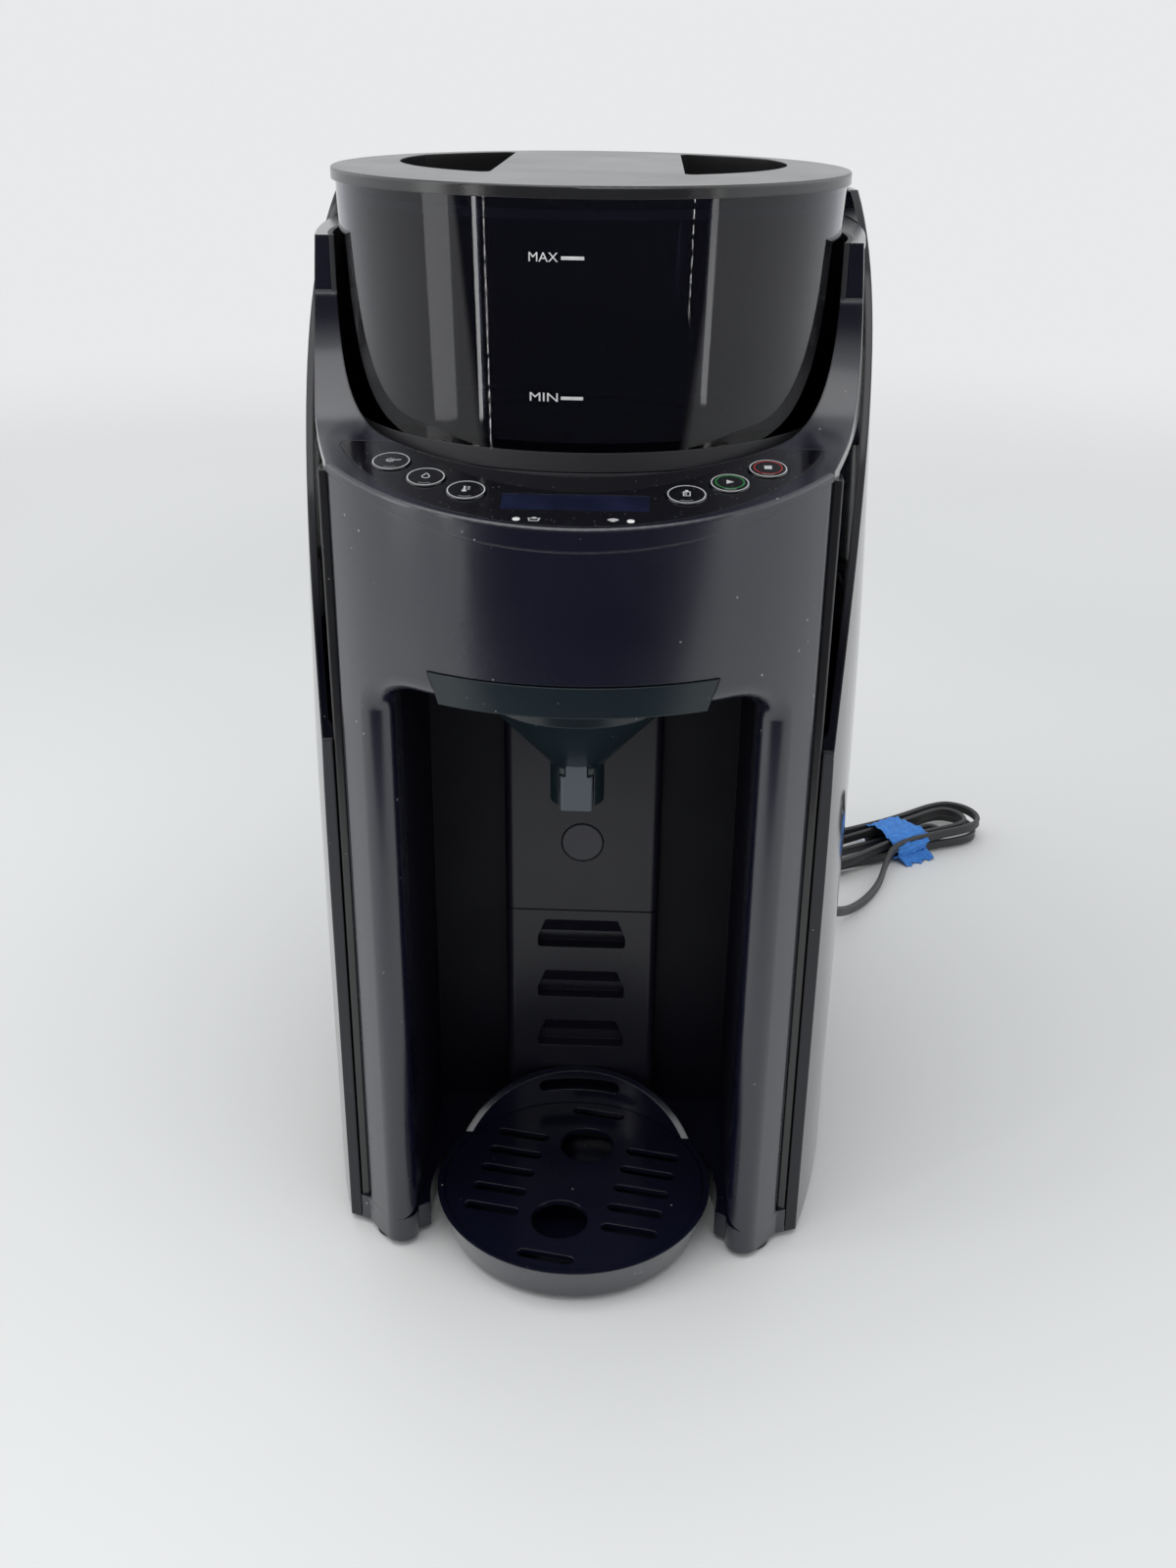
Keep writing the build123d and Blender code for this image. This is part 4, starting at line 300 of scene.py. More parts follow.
# crinkled paper tape, wrinkles across its length
def tapeFinish(look):
    material, tree, shader = newFinish(look["name"])
    place = uvPlace(tree, (220, 14, 1))
    crepe = noiseField(tree, place, 1.0, 5, 0.65)
    folds = noiseField(tree, uvPlace(tree, (26, 9, 1)), 1.0, 3)
    dim, bright = scaledColour(look["colour"], 0.82), scaledColour(look["colour"], 1.15)
    tree.links.new(mixed(tree, drifting(tree, folds, 0, 1), dim, bright), shader.inputs["Base Color"])
    tree.links.new(drifting(tree, crepe, 0.5, 0.75), shader.inputs["Roughness"])
    relief = mathNode(tree, "ADD", crepe, mathNode(tree, "MULTIPLY", folds, 2.0))
    bumped(tree, shader, relief, 0.00035, 0.8)
    return material


finishLooks = {
    "satin_black": {
        "colour": (0.004, 0.0048, 0.0155), "roughness": 0.27, "drift": 0.03, "ior": 1.6, "coat": 0.7,
        "coatRoughness": 0.16, "dust": 0.18, "dustSize": 0.006, "edge": 0.0009,
    },
    "gloss_black": {
        "colour": (0.003, 0.003, 0.008), "roughness": 0.09, "drift": 0.03, "dust": 0.3, "grainScale": 90,
        "grainDepth": 0.00004, "grainStrength": 0.2, "edge": 0.0012,
    },
    "lid_grey": {
        "colour": (0.018, 0.018, 0.019), "roughness": 0.2, "drift": 0.03, "dust": 0.15, "grainScale": 1800,
        "ior": 1.6,
    },
    "bay_black": {"colour": (0.0012, 0.0013, 0.0068), "roughness": 0.5, "drift": 0.05, "flatSheen": 0.25},
    "column_grey": {"colour": (0.010, 0.010, 0.018), "roughness": 0.3, "drift": 0.04},
    "panel_gloss": {
        "colour": (0.004, 0.004, 0.007), "roughness": 0.13, "drift": 0.04, "dust": 0.75, "dustSize": 0.0022,
        "coat": 0.6,
    },
    "lamp_white": {"colour": (0.86, 0.86, 0.84), "roughness": 0.4, "drift": 0.04},
    "sensor_lens": {"colour": (0.035, 0.035, 0.047), "roughness": 0.3, "drift": 0.05},
    "funnel_smoke": {"colour": (0.010, 0.018, 0.023), "roughness": 0.2, "drift": 0.04, "dust": 0.3},
    "nozzle_grey": {"colour": (0.085, 0.10, 0.12), "roughness": 0.35, "drift": 0.06},
    "inner_plastic": {"colour": (0.03, 0.03, 0.034), "roughness": 0.5, "drift": 0.05},
    "inner_white": {"colour": (0.7, 0.7, 0.68), "roughness": 0.45, "drift": 0.05},
    "rubber": {"colour": (0.02, 0.02, 0.02), "roughness": 0.75, "drift": 0.05, "grainDepth": 0.00005},
    "seal_grey": {"colour": (0.38, 0.38, 0.38), "roughness": 0.6, "drift": 0.05},
    "hose_clear": {"colour": (0.6, 0.6, 0.57), "roughness": 0.35, "drift": 0.06},
    "motor_metal": {"colour": (0.25, 0.25, 0.26), "roughness": 0.4, "drift": 0.08, "coat": 0.3},
    "cord_grey": {
        "colour": (0.03, 0.03, 0.032), "roughness": 0.38, "drift": 0.05, "grainScale": 1200, "edge": 0.0,
    },
}
clearLooks = {
    "smoke_clear": {"colour": (0.10, 0.105, 0.15), "roughness": 0.02},
    "tank_clear": {"colour": (0.10, 0.105, 0.13), "roughness": 0.05},
}
metalLooks = {
    "screw_steel": {"colour": (0.6, 0.6, 0.58), "roughness": 0.35, "lineScale": (900, 900, 60)},
    "drive_steel": {"colour": (0.55, 0.55, 0.55), "roughness": 0.3, "lineScale": (60, 60, 1500)},
    "heater_metal": {"colour": (0.6, 0.6, 0.61), "roughness": 0.45, "lineScale": (80, 80, 900)},
}
finishes = {}
for makeFinish, looks in (
    (mouldedFinish, finishLooks),
    (clearFinish, clearLooks),
    (metalFinish, metalLooks),
    (boardFinish, {"board_green": {"colour": (0.015, 0.09, 0.035)}}),
    (displayFinish, {"lcd": {"colour": (0.006, 0.009, 0.03)}}),
    (tapeFinish, {"tape_blue": {"colour": (0.05, 0.25, 0.74)}}),
):
    for name, look in looks.items():
        finishes[name] = makeFinish({"name": name, **look})

for part in frame["record"]["subparts"]:
    node = nodes[part["node"]]
    for holder in node.material_slots:
        holder.material = finishes[part["material_slot"]]
print("finishes on every node")


# the flat twin mains lead: out of the gland, into the tied hank, out again to its plug
cordLook = {
    "exit": (0.1189, 0.1300, 0.0220),
    "lead": [
        (0.1189, 0.1300, 0.0220),
        (0.1370, 0.1416, 0.0170),
        (0.1500, 0.1620, 0.0060),
        (0.1630, 0.1810, 0.0034),
        (0.1740, 0.2020, 0.0036),
        (0.1805, 0.2240, 0.0070),
    ],
    "plugLead": [
        (0.1760, 0.2620, 0.0080),
        (0.1530, 0.2720, 0.0040),
        (0.1280, 0.2740, 0.0034),
        (0.1030, 0.2680, 0.0036),
        (0.0827, 0.2600, 0.0080),
        (0.0713, 0.2563, 0.0080),
    ],
    "hankCentre": (0.183, 0.252),
    "hankAngle": 32.0,
    "width": 0.0060,
    "thickness": 0.0031,
}
tieLook = {
    "low": -0.0045, "high": 0.0225, "halfWidth": 0.0182, "bottom": 0.0004, "top": 0.0162,
    "overlap": 1.04, "lapFrom": 0.93, "lap": 0.0004, "crumple": 0.0007, "fineCrumple": 0.0004,
    "ragged": 0.0016, "fray": 0.0004, "waist": 0.06, "slump": 0.1, "lowest": 0.0003, "thickness": 0.0003,
}
tailLook = {
    "start": 0.002, "length": 0.024, "slant": 0.002, "tuck": 0.0008, "reach": 0.0062, "height": 0.0052,
    "drop": 0.0042, "ragged": 0.0012, "fray": 0.0007, "wave": 0.0007, "ripple": 0.0005, "lowest": 0.0004,
    "thickness": 0.0004,
}

# each turn of the hank: how far it reaches right and left of the centre, half its width, its height, and
# how far from the middle its strands lie under the tape
hankTurns = [
    {"right": 0.0720, "left": 0.0700, "half": 0.0190, "height": 0.0118, "lane": 0.0148},
    {"right": 0.0625, "left": 0.0600, "half": 0.0130, "height": 0.0112, "lane": 0.0092},
    {"right": 0.0450, "left": 0.0500, "half": 0.0072, "height": 0.0046, "lane": 0.0050},
    {"right": 0.0690, "left": 0.0660, "half": 0.0200, "height": 0.0042, "lane": 0.0128},
]


def onHank(u, v, z):
    angle = radians(cordLook["hankAngle"])
    x, y = cordLook["hankCentre"]
    return (x + u * cos(angle) - v * sin(angle), y + u * sin(angle) + v * cos(angle), z)


loopLook = {"points": 4, "between": 45.0, "outside": 1.082}


def loopEnd(reach, half, height, first, side):
    # control points round one end of a turn, a little outside the curve they pull
    centre = side * (reach - half)
    wide = loopLook["outside"] * half
    turned = [radians(first + step * loopLook["between"]) for step in range(loopLook["points"])]
    return [onHank(centre + wide * cos(angle), wide * sin(angle), height) for angle in turned]


def hankPoints(turns):
    points = []
    for place, turn in enumerate(turns):
        lane, height = turn["lane"], turn["height"]
        points += [onHank(tieLook["low"], -lane, height), onHank(tieLook["high"], -lane, height)]
        points += loopEnd(turn["right"], turn["half"], height, -67.5, 1)
        points += [onHank(tieLook["high"], lane, height), onHank(tieLook["low"], lane, height)]
        if place + 1 < len(turns):
            after = turns[place + 1]
            level = (height + after["height"]) / 2
            points += loopEnd((turn["left"] + after["left"]) / 2, turn["half"], level, 112.5, -1)
    return points


def splineFrom(points, name):
    curve = bpy.data.curves.new(name, "CURVE")
    curve.dimensions = "3D"
    curve.resolution_u = 6
    curve.twist_mode = "Z_UP"
    spline = curve.splines.new("NURBS")
    spline.points.add(len(points) - 1)
    for control, point in zip(spline.points, points):
        control.co = (*point, 1)
    spline.order_u = 3
    spline.use_endpoint_u = True
    return bpy.data.objects.new(name, curve)


def curveMesh(holder, name):
    scene.collection.objects.link(holder)
    bpy.context.view_layer.update()
    graph = bpy.context.evaluated_depsgraph_get()
    mesh = bpy.data.meshes.new_from_object(holder.evaluated_get(graph), depsgraph=graph)
    mesh.name = name
    scene.collection.objects.unlink(holder)
    return mesh


def twinSection(width, thickness):
    # two round cores side by side with a shallow groove between them
    core = thickness / 2
    reach = width / 2 - core
    outline = []
    for step in range(9):
        angle = radians(-78 + step * 156 / 8)
        outline.append((reach * 1.02 + core * cos(angle), core * sin(angle)))
    outline.append((0.0, core * 0.62))
    for step in range(9):
        angle = radians(102 + step * 156 / 8)
        outline.append((-reach * 1.02 + core * cos(angle), core * sin(angle)))
    outline.append((0.0, -core * 0.62))
    curve = bpy.data.curves.new("twinSection", "CURVE")
    curve.dimensions = "2D"
    spline = curve.splines.new("POLY")
    spline.points.add(len(outline) - 1)
    for control, (x, y) in zip(spline.points, outline):
        control.co = (y, x, 0, 1)
    spline.use_cyclic_u = True
    section = bpy.data.objects.new("twinSection", curve)
    scene.collection.objects.link(section)
    return section


def makeCord(look):
    route = look["lead"] + hankPoints(hankTurns) + look["plugLead"]
    line = curveMesh(splineFrom(route, "cordLine"), "cordLine")
    path = [tuple(vertex.co) for vertex in line.vertices]
    length = sum((Vector(a) - Vector(b)).length for a, b in zip(path, path[1:]))
    section = twinSection(look["width"], look["thickness"])
    holder = splineFrom(route, "cordTube")
    holder.data.bevel_mode = "OBJECT"
    holder.data.bevel_object = section
    holder.data.use_fill_caps = True
    mesh = curveMesh(holder, "mainsCord")
    bpy.data.objects.remove(section)
    for polygon in mesh.polygons:
        polygon.use_smooth = True
    cord = addPiece("mains_cord", mesh, "chassis", finishes["cord_grey"])
    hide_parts("power_cord", "cord_hank")
    print("cord", round(length, 3), "m")
    return cord, path, length


cord, cordPath, cordLength = makeCord(cordLook)


# crinkled tape round the hank, with a torn end hanging from it
def tapeGrid(across, along):
    bm = bmesh.new()
    bmesh.ops.create_grid(bm, x_segments=across, y_segments=along, size=0.5, calc_uvs=True)
    layer = bm.loops.layers.uv.verify()
    for face in bm.faces:
        for loop in face.loops:
            loop[layer].uv = (loop.vert.co.x + 0.5, loop.vert.co.y + 0.5)
    return bm


def rounded(value, power):
    # a sine or cosine pushed out towards a box
    return abs(value) ** power * (1 if value > 0 else -1)


def tapeBand(look):
    bm = tapeGrid(110, 26)
    middle = (look["low"] + look["high"]) / 2
    reach = (look["high"] - look["low"]) / 2
    tall = (look["top"] - look["bottom"]) / 2
    for vert in bm.verts:
        share, along = vert.co.x + 0.5, vert.co.y * 2
        angle = 2 * pi * share * look["overlap"] - pi / 2
        lift = look["lap"] if share > look["lapFrom"] else 0.0
        crumple = look["crumple"] * sin(9 * angle + 7 * along) * sin(5 * along + 3 * angle)
        crumple += look["fineCrumple"] * sin(23 * angle + 3 * along)
        ragged = look["ragged"] * sin(3 * angle + 1) + look["fray"] * sin(11 * angle)
        pull = 1 - look["waist"] * along * along
        u = middle + along * (reach + ragged)
        v = rounded(cos(angle), 0.75) * (look["halfWidth"] * pull + crumple + lift)
        level = tall * (1 - look["slump"] * max(along, 0)) + crumple + lift
        z = look["bottom"] + tall + rounded(sin(angle), 0.8) * level
        vert.co = onHank(u, v, max(z, look["lowest"]))
    bmesh.ops.recalc_face_normals(bm, faces=bm.faces[:])
    return meshFrom(bm, "tapeBand")


def tapeTail(look, tie):
    bm = tapeGrid(40, 14)
    for vert in bm.verts:
        share, out = vert.co.x + 0.5, vert.co.y + 0.5
        ragged = look["ragged"] * sin(17 * share) + look["fray"] * sin(41 * share + 2)
        u = tie["low"] + look["start"] + share * look["length"] + look["slant"] * out
        v = -tie["halfWidth"] + look["tuck"] - out * (look["reach"] + ragged)
        z = look["height"] - look["drop"] * out ** 0.7
        z += look["wave"] * sin(19 * share + 4 * out) * out + look["ripple"] * sin(37 * share)
        vert.co = onHank(u, v, max(z, look["lowest"]))
    bmesh.ops.recalc_face_normals(bm, faces=bm.faces[:])
    return meshFrom(bm, "tapeTail")


def addTape(name, mesh, thickness):
    piece = addPiece(name, mesh, "chassis", finishes["tape_blue"])
    shell = piece.modifiers.new("thickness", "SOLIDIFY")
    shell.thickness = thickness
    shell.offset = 0
    return piece


tape = addTape("tape_band", tapeBand(tieLook), tieLook["thickness"])
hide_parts("cord_tie")
tail = addTape("tape_end", tapeTail(tailLook, tieLook), tailLook["thickness"])
print("cord, tape and plug in place")


# prints on the control panel, laid out in the panel's own plane
panel = {
    "origin": (0.0, -0.162, 0.3268),
    "slope": 12.0,
    "rise": 0.0006,
    "print": 0.00005,
    "clearance": 0.00004,
    "iconHeight": 0.00003,
    "buttonRadius": 0.0069,
    "places": {
        "powder": (-0.0652, 0.0465),
        "water": (-0.0517, 0.0348),
        "heat": (-0.0370, 0.0256),
        "volume": (0.0370, 0.0256),
        "start": (0.0517, 0.0348),
        "stop": (0.0652, 0.0465),
    },
    "lampPlace": (0.0187, 0.0066),
}
panelFrame = Matrix.Translation(panel["origin"]) @ Matrix.Rotation(radians(panel["slope"]), 4, "X")


def printInk(name, colour):
    material, tree, shader = newFinish(name)
    wear = noiseField(tree, objectPlace(tree), 900, 3)
    worn = mixed(tree, spanned(tree, wear, 0.35, 0.7, 0, 1), colour, scaledColour(colour, 0.8))
    tree.links.new(worn, shader.inputs["Base Color"])
    tree.links.new(drifting(tree, wear, 0.35, 0.5), shader.inputs["Roughness"])
    bumped(tree, shader, wear, 0.00001, 0.4)
    return material


inks = {
    "white": printInk("ink_white", (0.72, 0.73, 0.74)),
    "green": printInk("ink_green", (0.03, 0.27, 0.07)),
    "red": printInk("ink_red", (0.42, 0.035, 0.03)),
    # the grey ink only paints the buttons' highlight arcs: a painted highlight, not a print
    "grey": printInk("painted_glint_grey", (0.22, 0.225, 0.235)),
}


def ring(bm, centre, radius, width, height, segments=48):
    # a flat ring: two circles of edges bridged, on the panel's plane
    loops = []
    place = Matrix.Translation((*centre, height))
    for size in (radius + width / 2, radius - width / 2):
        made = bmesh.ops.create_circle(bm, segments=segments, radius=size, matrix=place)
        loops += list({edge for vert in made["verts"] for edge in vert.link_edges})
    bmesh.ops.bridge_loops(bm, edges=loops)


def flatPlace(centre, height, turn, across, up):
    place = Matrix.Translation((*centre, height)) @ Matrix.Rotation(turn, 4, "Z")
    return place @ Matrix.Diagonal((across, up, 1, 1))


def disc(bm, centre, radius, height, turn=0.0, segments=24):
    place = flatPlace(centre, height, turn, radius, radius)
    bmesh.ops.create_circle(bm, cap_ends=True, segments=segments, radius=1, matrix=place)


def bar(bm, centre, size, height, turn=0.0):
    place = flatPlace(centre, height, turn, size[0] / 2, size[1] / 2)
    bmesh.ops.create_grid(bm, x_segments=1, y_segments=1, size=1, matrix=place)


def arc(bm, centre, radius, width, first, last, height, segments=10):
    # a flat bar swept round part of a circle
    x, y = centre
    start = radians(first)
    reaches = (radius - width / 2, radius + width / 2)
    verts = [bm.verts.new((x + r * cos(start), y + r * sin(start), height)) for r in reaches]
    edge = bm.edges.new(verts)
    bmesh.ops.spin(
        bm, geom=verts + [edge], cent=(x, y, height), axis=(0, 0, 1), angle=radians(last - first),
        steps=segments, use_merge=False,
    )


def onPanel(bm, name, body, material):
    bmesh.ops.recalc_face_normals(bm, faces=bm.faces[:])
    for face in [face for face in bm.faces if face.normal.z < 0]:
        face.normal_flip()
    bmesh.ops.solidify(bm, geom=bm.faces[:], thickness=-panel["print"])
    bmesh.ops.transform(bm, matrix=panelFrame, verts=bm.verts[:])
    bmesh.ops.recalc_face_normals(bm, faces=bm.faces[:])
    return addPiece(name, meshFrom(bm, name, smooth=False), body, material)


def symbolPowder(bm, x, y, z):
    # a level spoon with grains above it
    arc(bm, (x - 0.0004, y), 0.0013, 0.00035, 180, 360, z)
    bar(bm, (x - 0.0004, y), (0.0030, 0.00035), z)
    bar(bm, (x + 0.0022, y + 0.0002), (0.0024, 0.0004), z, 0.12)
    for across, up in ((-0.0012, 0.0008), (-0.0003, 0.0012), (0.0006, 0.0008)):
        disc(bm, (x + across, y + up), 0.00026, z, segments=10)


def symbolWater(bm, x, y, z):
    # a drop: the lower arc of a circle and two straight sides to a point
    arc(bm, (x, y - 0.0004), 0.0013, 0.00036, 150, 390, z, 14)
    bar(bm, (x - 0.0006, y + 0.0010), (0.0020, 0.00036), z, radians(62))
    bar(bm, (x + 0.0006, y + 0.0010), (0.0020, 0.00036), z, radians(118))


def symbolHeat(bm, x, y, z):
    # a thermometer beside two ticks
    disc(bm, (x - 0.0006, y - 0.0013), 0.00085, z, segments=20)
    bar(bm, (x - 0.0006, y + 0.0004), (0.0007, 0.0032), z)
    for step in range(3):
        bar(bm, (x + 0.0008, y + 0.0015 - step * 0.0009), (0.0010, 0.00032), z)


def symbolVolume(bm, x, y, z):
    # a bottle outline with level lines
    bar(bm, (x - 0.0011, y - 0.0004), (0.00036, 0.0028), z)
    bar(bm, (x + 0.0011, y - 0.0004), (0.00036, 0.0028), z)
    bar(bm, (x, y - 0.0018), (0.0025, 0.00036), z)
    bar(bm, (x, y + 0.0011), (0.0025, 0.0004), z)
    bar(bm, (x, y + 0.0018), (0.0011, 0.0009), z)
    for step in range(3):
        bar(bm, (x - 0.0004, y - 0.0010 + step * 0.0007), (0.0010, 0.00024), z)


def symbolStart(bm, x, y, z):
    disc(bm, (x - 0.0003, y), 0.0017, z, segments=3, turn=radians(-90))


def symbolStop(bm, x, y, z):
    bar(bm, (x, y), (0.0026, 0.0026), z)


symbols = {
    "powder": symbolPowder, "water": symbolWater, "heat": symbolHeat,
    "volume": symbolVolume, "start": symbolStart, "stop": symbolStop,
}
accents = {"start": "green", "stop": "red"}


def dressButtons(panel):
    top = panel["rise"] + panel["clearance"]
    for name, (x, y) in panel["places"].items():
        body = name + "_button"
        bm = bmesh.new()
        ring(bm, (x, y), panel["buttonRadius"] - 0.00062, 0.00036, top)
        onPanel(bm, name + "_ring", body, inks["white"])
        bm = bmesh.new()
        symbols[name](bm, x, y + 0.0006, top)
        onPanel(bm, name + "_symbol", body, inks["white"])
        # painted highlight: a grey arc low on each button stands in for the light on its rounded edge
        bm = bmesh.new()
        arc(bm, (x, y), panel["buttonRadius"] - 0.0020, 0.00045, 245, 295, top)
        onPanel(bm, name + "_glint", body, inks["grey"])
        if name in accents:
            bm = bmesh.new()
            ring(bm, (x, y + 0.0005), panel["buttonRadius"] - 0.0021, 0.00045, top)
            onPanel(bm, name + "_accent", body, inks[accents[name]])


dressButtons(panel)


def statusIcons(panel):
    x, y = panel["lampPlace"]
    z = panel["iconHeight"]
    bm = bmesh.new()  # a small pot beside the left lamp
    px, py = -x + 0.0058, y
    bar(bm, (px, py - 0.0011), (0.0028, 0.00035), z)
    bar(bm, (px - 0.0016, py - 0.0003), (0.00035, 0.0016), z, 0.12)
    bar(bm, (px + 0.0016, py - 0.0003), (0.00035, 0.0016), z, -0.12)
    bar(bm, (px, py + 0.0006), (0.0042, 0.00035), z)
    bar(bm, (px, py + 0.0011), (0.0013, 0.0006), z)
    onPanel(bm, "icon_pot", "chassis", inks["white"])
    bm = bmesh.new()  # a drop in a saucer beside the right lamp
    px = x - 0.0058
    arc(bm, (px, py - 0.0010), 0.0009, 0.0009, 40, 140, z)
    arc(bm, (px, py - 0.0010), 0.0021, 0.0009, 40, 140, z)
    onPanel(bm, "icon_level", "chassis", inks["white"])


statusIcons(panel)
print("panel prints done")


# fill marks printed on the container wall
marksLook = {
    "centreY": -0.032,
    "radiusLow": 0.091,
    "radiusHigh": 0.094,
    "low": 0.3425,
    "high": 0.4240,
    "gap": 0.00008,
    "textSize": 0.0042,
    "textWidth": 0.0100,
    "strokeDepth": 0.00002,
    "rows": {"MAX": 0.4060, "MIN": 0.3610},
    "textLeft": -0.0170,
    "tick": (-0.0060, 0.0015),
    "tickHeight": 0.0011,
}


def onWall(look, x, z):
    climb = (z - look["low"]) / (look["high"] - look["low"])
    radius = look["radiusLow"] + (look["radiusHigh"] - look["radiusLow"]) * climb + look["gap"]
    return (radius * sin(x / radius), look["centreY"] - radius * cos(x / radius), z)


def fillMarks(look):
    for word, level in look["rows"].items():
        letters = bpy.data.curves.new(word, "FONT")
        letters.body = word
        letters.size = look["textSize"]
        letters.align_y = "CENTER"
        letters.extrude = look["strokeDepth"]
        letters.resolution_u = 4
        mesh = curveMesh(bpy.data.objects.new(word, letters), word)
        bm = bmesh.new()
        bm.from_mesh(mesh)
        stretch = look["textWidth"] / max(vert.co.x for vert in bm.verts)
        for vert in bm.verts:
            vert.co.x *= stretch
        tick = bmesh.ops.create_cube(bm, size=1)["verts"]
        first, last = (end - look["textLeft"] for end in look["tick"])
        for vert in tick:
            x = (first + last) / 2 + vert.co.x * (last - first)
            vert.co = (x, vert.co.y * look["tickHeight"], vert.co.z * 2 * look["strokeDepth"])
        long = [edge for edge in bm.edges if edge.calc_length() > 0.006]
        bmesh.ops.subdivide_edges(bm, edges=long, cuts=5)
        for vert in bm.verts:
            place = onWall(look, vert.co.x + look["textLeft"], level + vert.co.y)
            outward = Vector((place[0], place[1] - look["centreY"], 0)).normalized() * vert.co.z
            vert.co = Vector(place) + outward
        bmesh.ops.remove_doubles(bm, verts=bm.verts[:], dist=0.000001)
        bmesh.ops.recalc_face_normals(bm, faces=bm.faces[:])
        marks = meshFrom(bm, "mark" + word, smooth=False)
        addPiece("mark_" + word.lower(), marks, "container", inks["white"])


fillMarks(marksLook)
print("fill marks done")


# pale floor, soft light from above, tall strips and columns of small lamps at the front corners
stageLook = {
    "floorSize": 14.0,
    "floorColour": (0.82, 0.83, 0.825),
    "floorPale": (0.90, 0.91, 0.905),
    "backdrop": (0.806, 0.818, 0.83),
    "fadeFrom": 0.75,
    "fadeTo": 2.2,
    "roof": {"place": (-0.25, -0.35, 1.9), "size": 1.7, "power": 12.0},
    "strips": {
        "leftStrip": {"angle": -45.5, "height": 0.50, "width": 0.030, "tall": 0.8, "power": 0.5},
        "leftBand": {"angle": -64.0, "height": 0.50, "width": 0.22, "tall": 0.8, "power": 0.7},
        "rightBand": {"angle": 53.0, "height": 0.42, "width": 0.05, "tall": 0.6, "power": 0.25},
    },
    "stripDistance": 0.95,
    "leds": {
        "distance": 0.9, "spacing": 0.0125, "width": 0.0055, "height": 0.0070,
        "columns": {
            "leftLeds": {"angle": -41.0, "low": 0.05, "count": 34, "strength": 20.0},
            "rightLeds": {"angle": 43.5, "low": 0.22, "count": 18, "strength": 14.0},
        },
    },
    "front": {
        "near": -0.46, "far": -6.9, "height": 0.002, "spread": 2.2, "start": 1.0, "soft": 0.16,
        "colour": (0.02, 0.02, 0.035),
    },
}
roomLook = {
    "seen": 0.83,
    "fill": 0.66,
    "gloomFrom": 0.30,
    "gloomTo": 0.62,
    "lowFrom": 0.35,
    "lowTo": 0.75,
    "sideFrom": 0.45,
    "sideTo": 0.95,
    "sideDim": 0.75,
    "sideBright": 1.35,
    "streakScale": 7,
    "streakDim": 0.01,
    "streakBright": 0.16,
    "tint": (0.97, 0.985, 1.0),
}


def makeFloor(look):
    bm = bmesh.new()
    bmesh.ops.create_grid(bm, x_segments=8, y_segments=8, size=look["floorSize"] / 2)
    floor = bpy.data.objects.new("floor", meshFrom(bm, "floor"))
    scene.collection.objects.link(floor)
    material, tree, shader = newFinish("floorFinish")
    place = objectPlace(tree)
    broad = noiseField(tree, place, 1.1, 1)
    cloud = spanned(tree, broad, 0.35, 0.65, 0, 1)
    tree.links.new(mixed(tree, cloud, look["floorColour"], look["floorPale"]), shader.inputs["Base Color"])
    shader.inputs["Roughness"].default_value = 0.6
    bumped(tree, shader, noiseField(tree, place, 14, 2), 0.0004, 0.2)
    # further out the floor fades into the backdrop's level tone
    away = tree.nodes.new("ShaderNodeVectorMath")
    away.operation = "LENGTH"
    tree.links.new(place, away.inputs[0])
    fade = spanned(tree, away.outputs["Value"], look["fadeFrom"], look["fadeTo"], 0, 1, smooth=True)
    level = tree.nodes.new("ShaderNodeEmission")
    level.inputs["Color"].default_value = (*look["backdrop"], 1)
    blendedSurface(tree, fade, shader.outputs["BSDF"], level.outputs["Emission"])
    floor.data.materials.append(material)


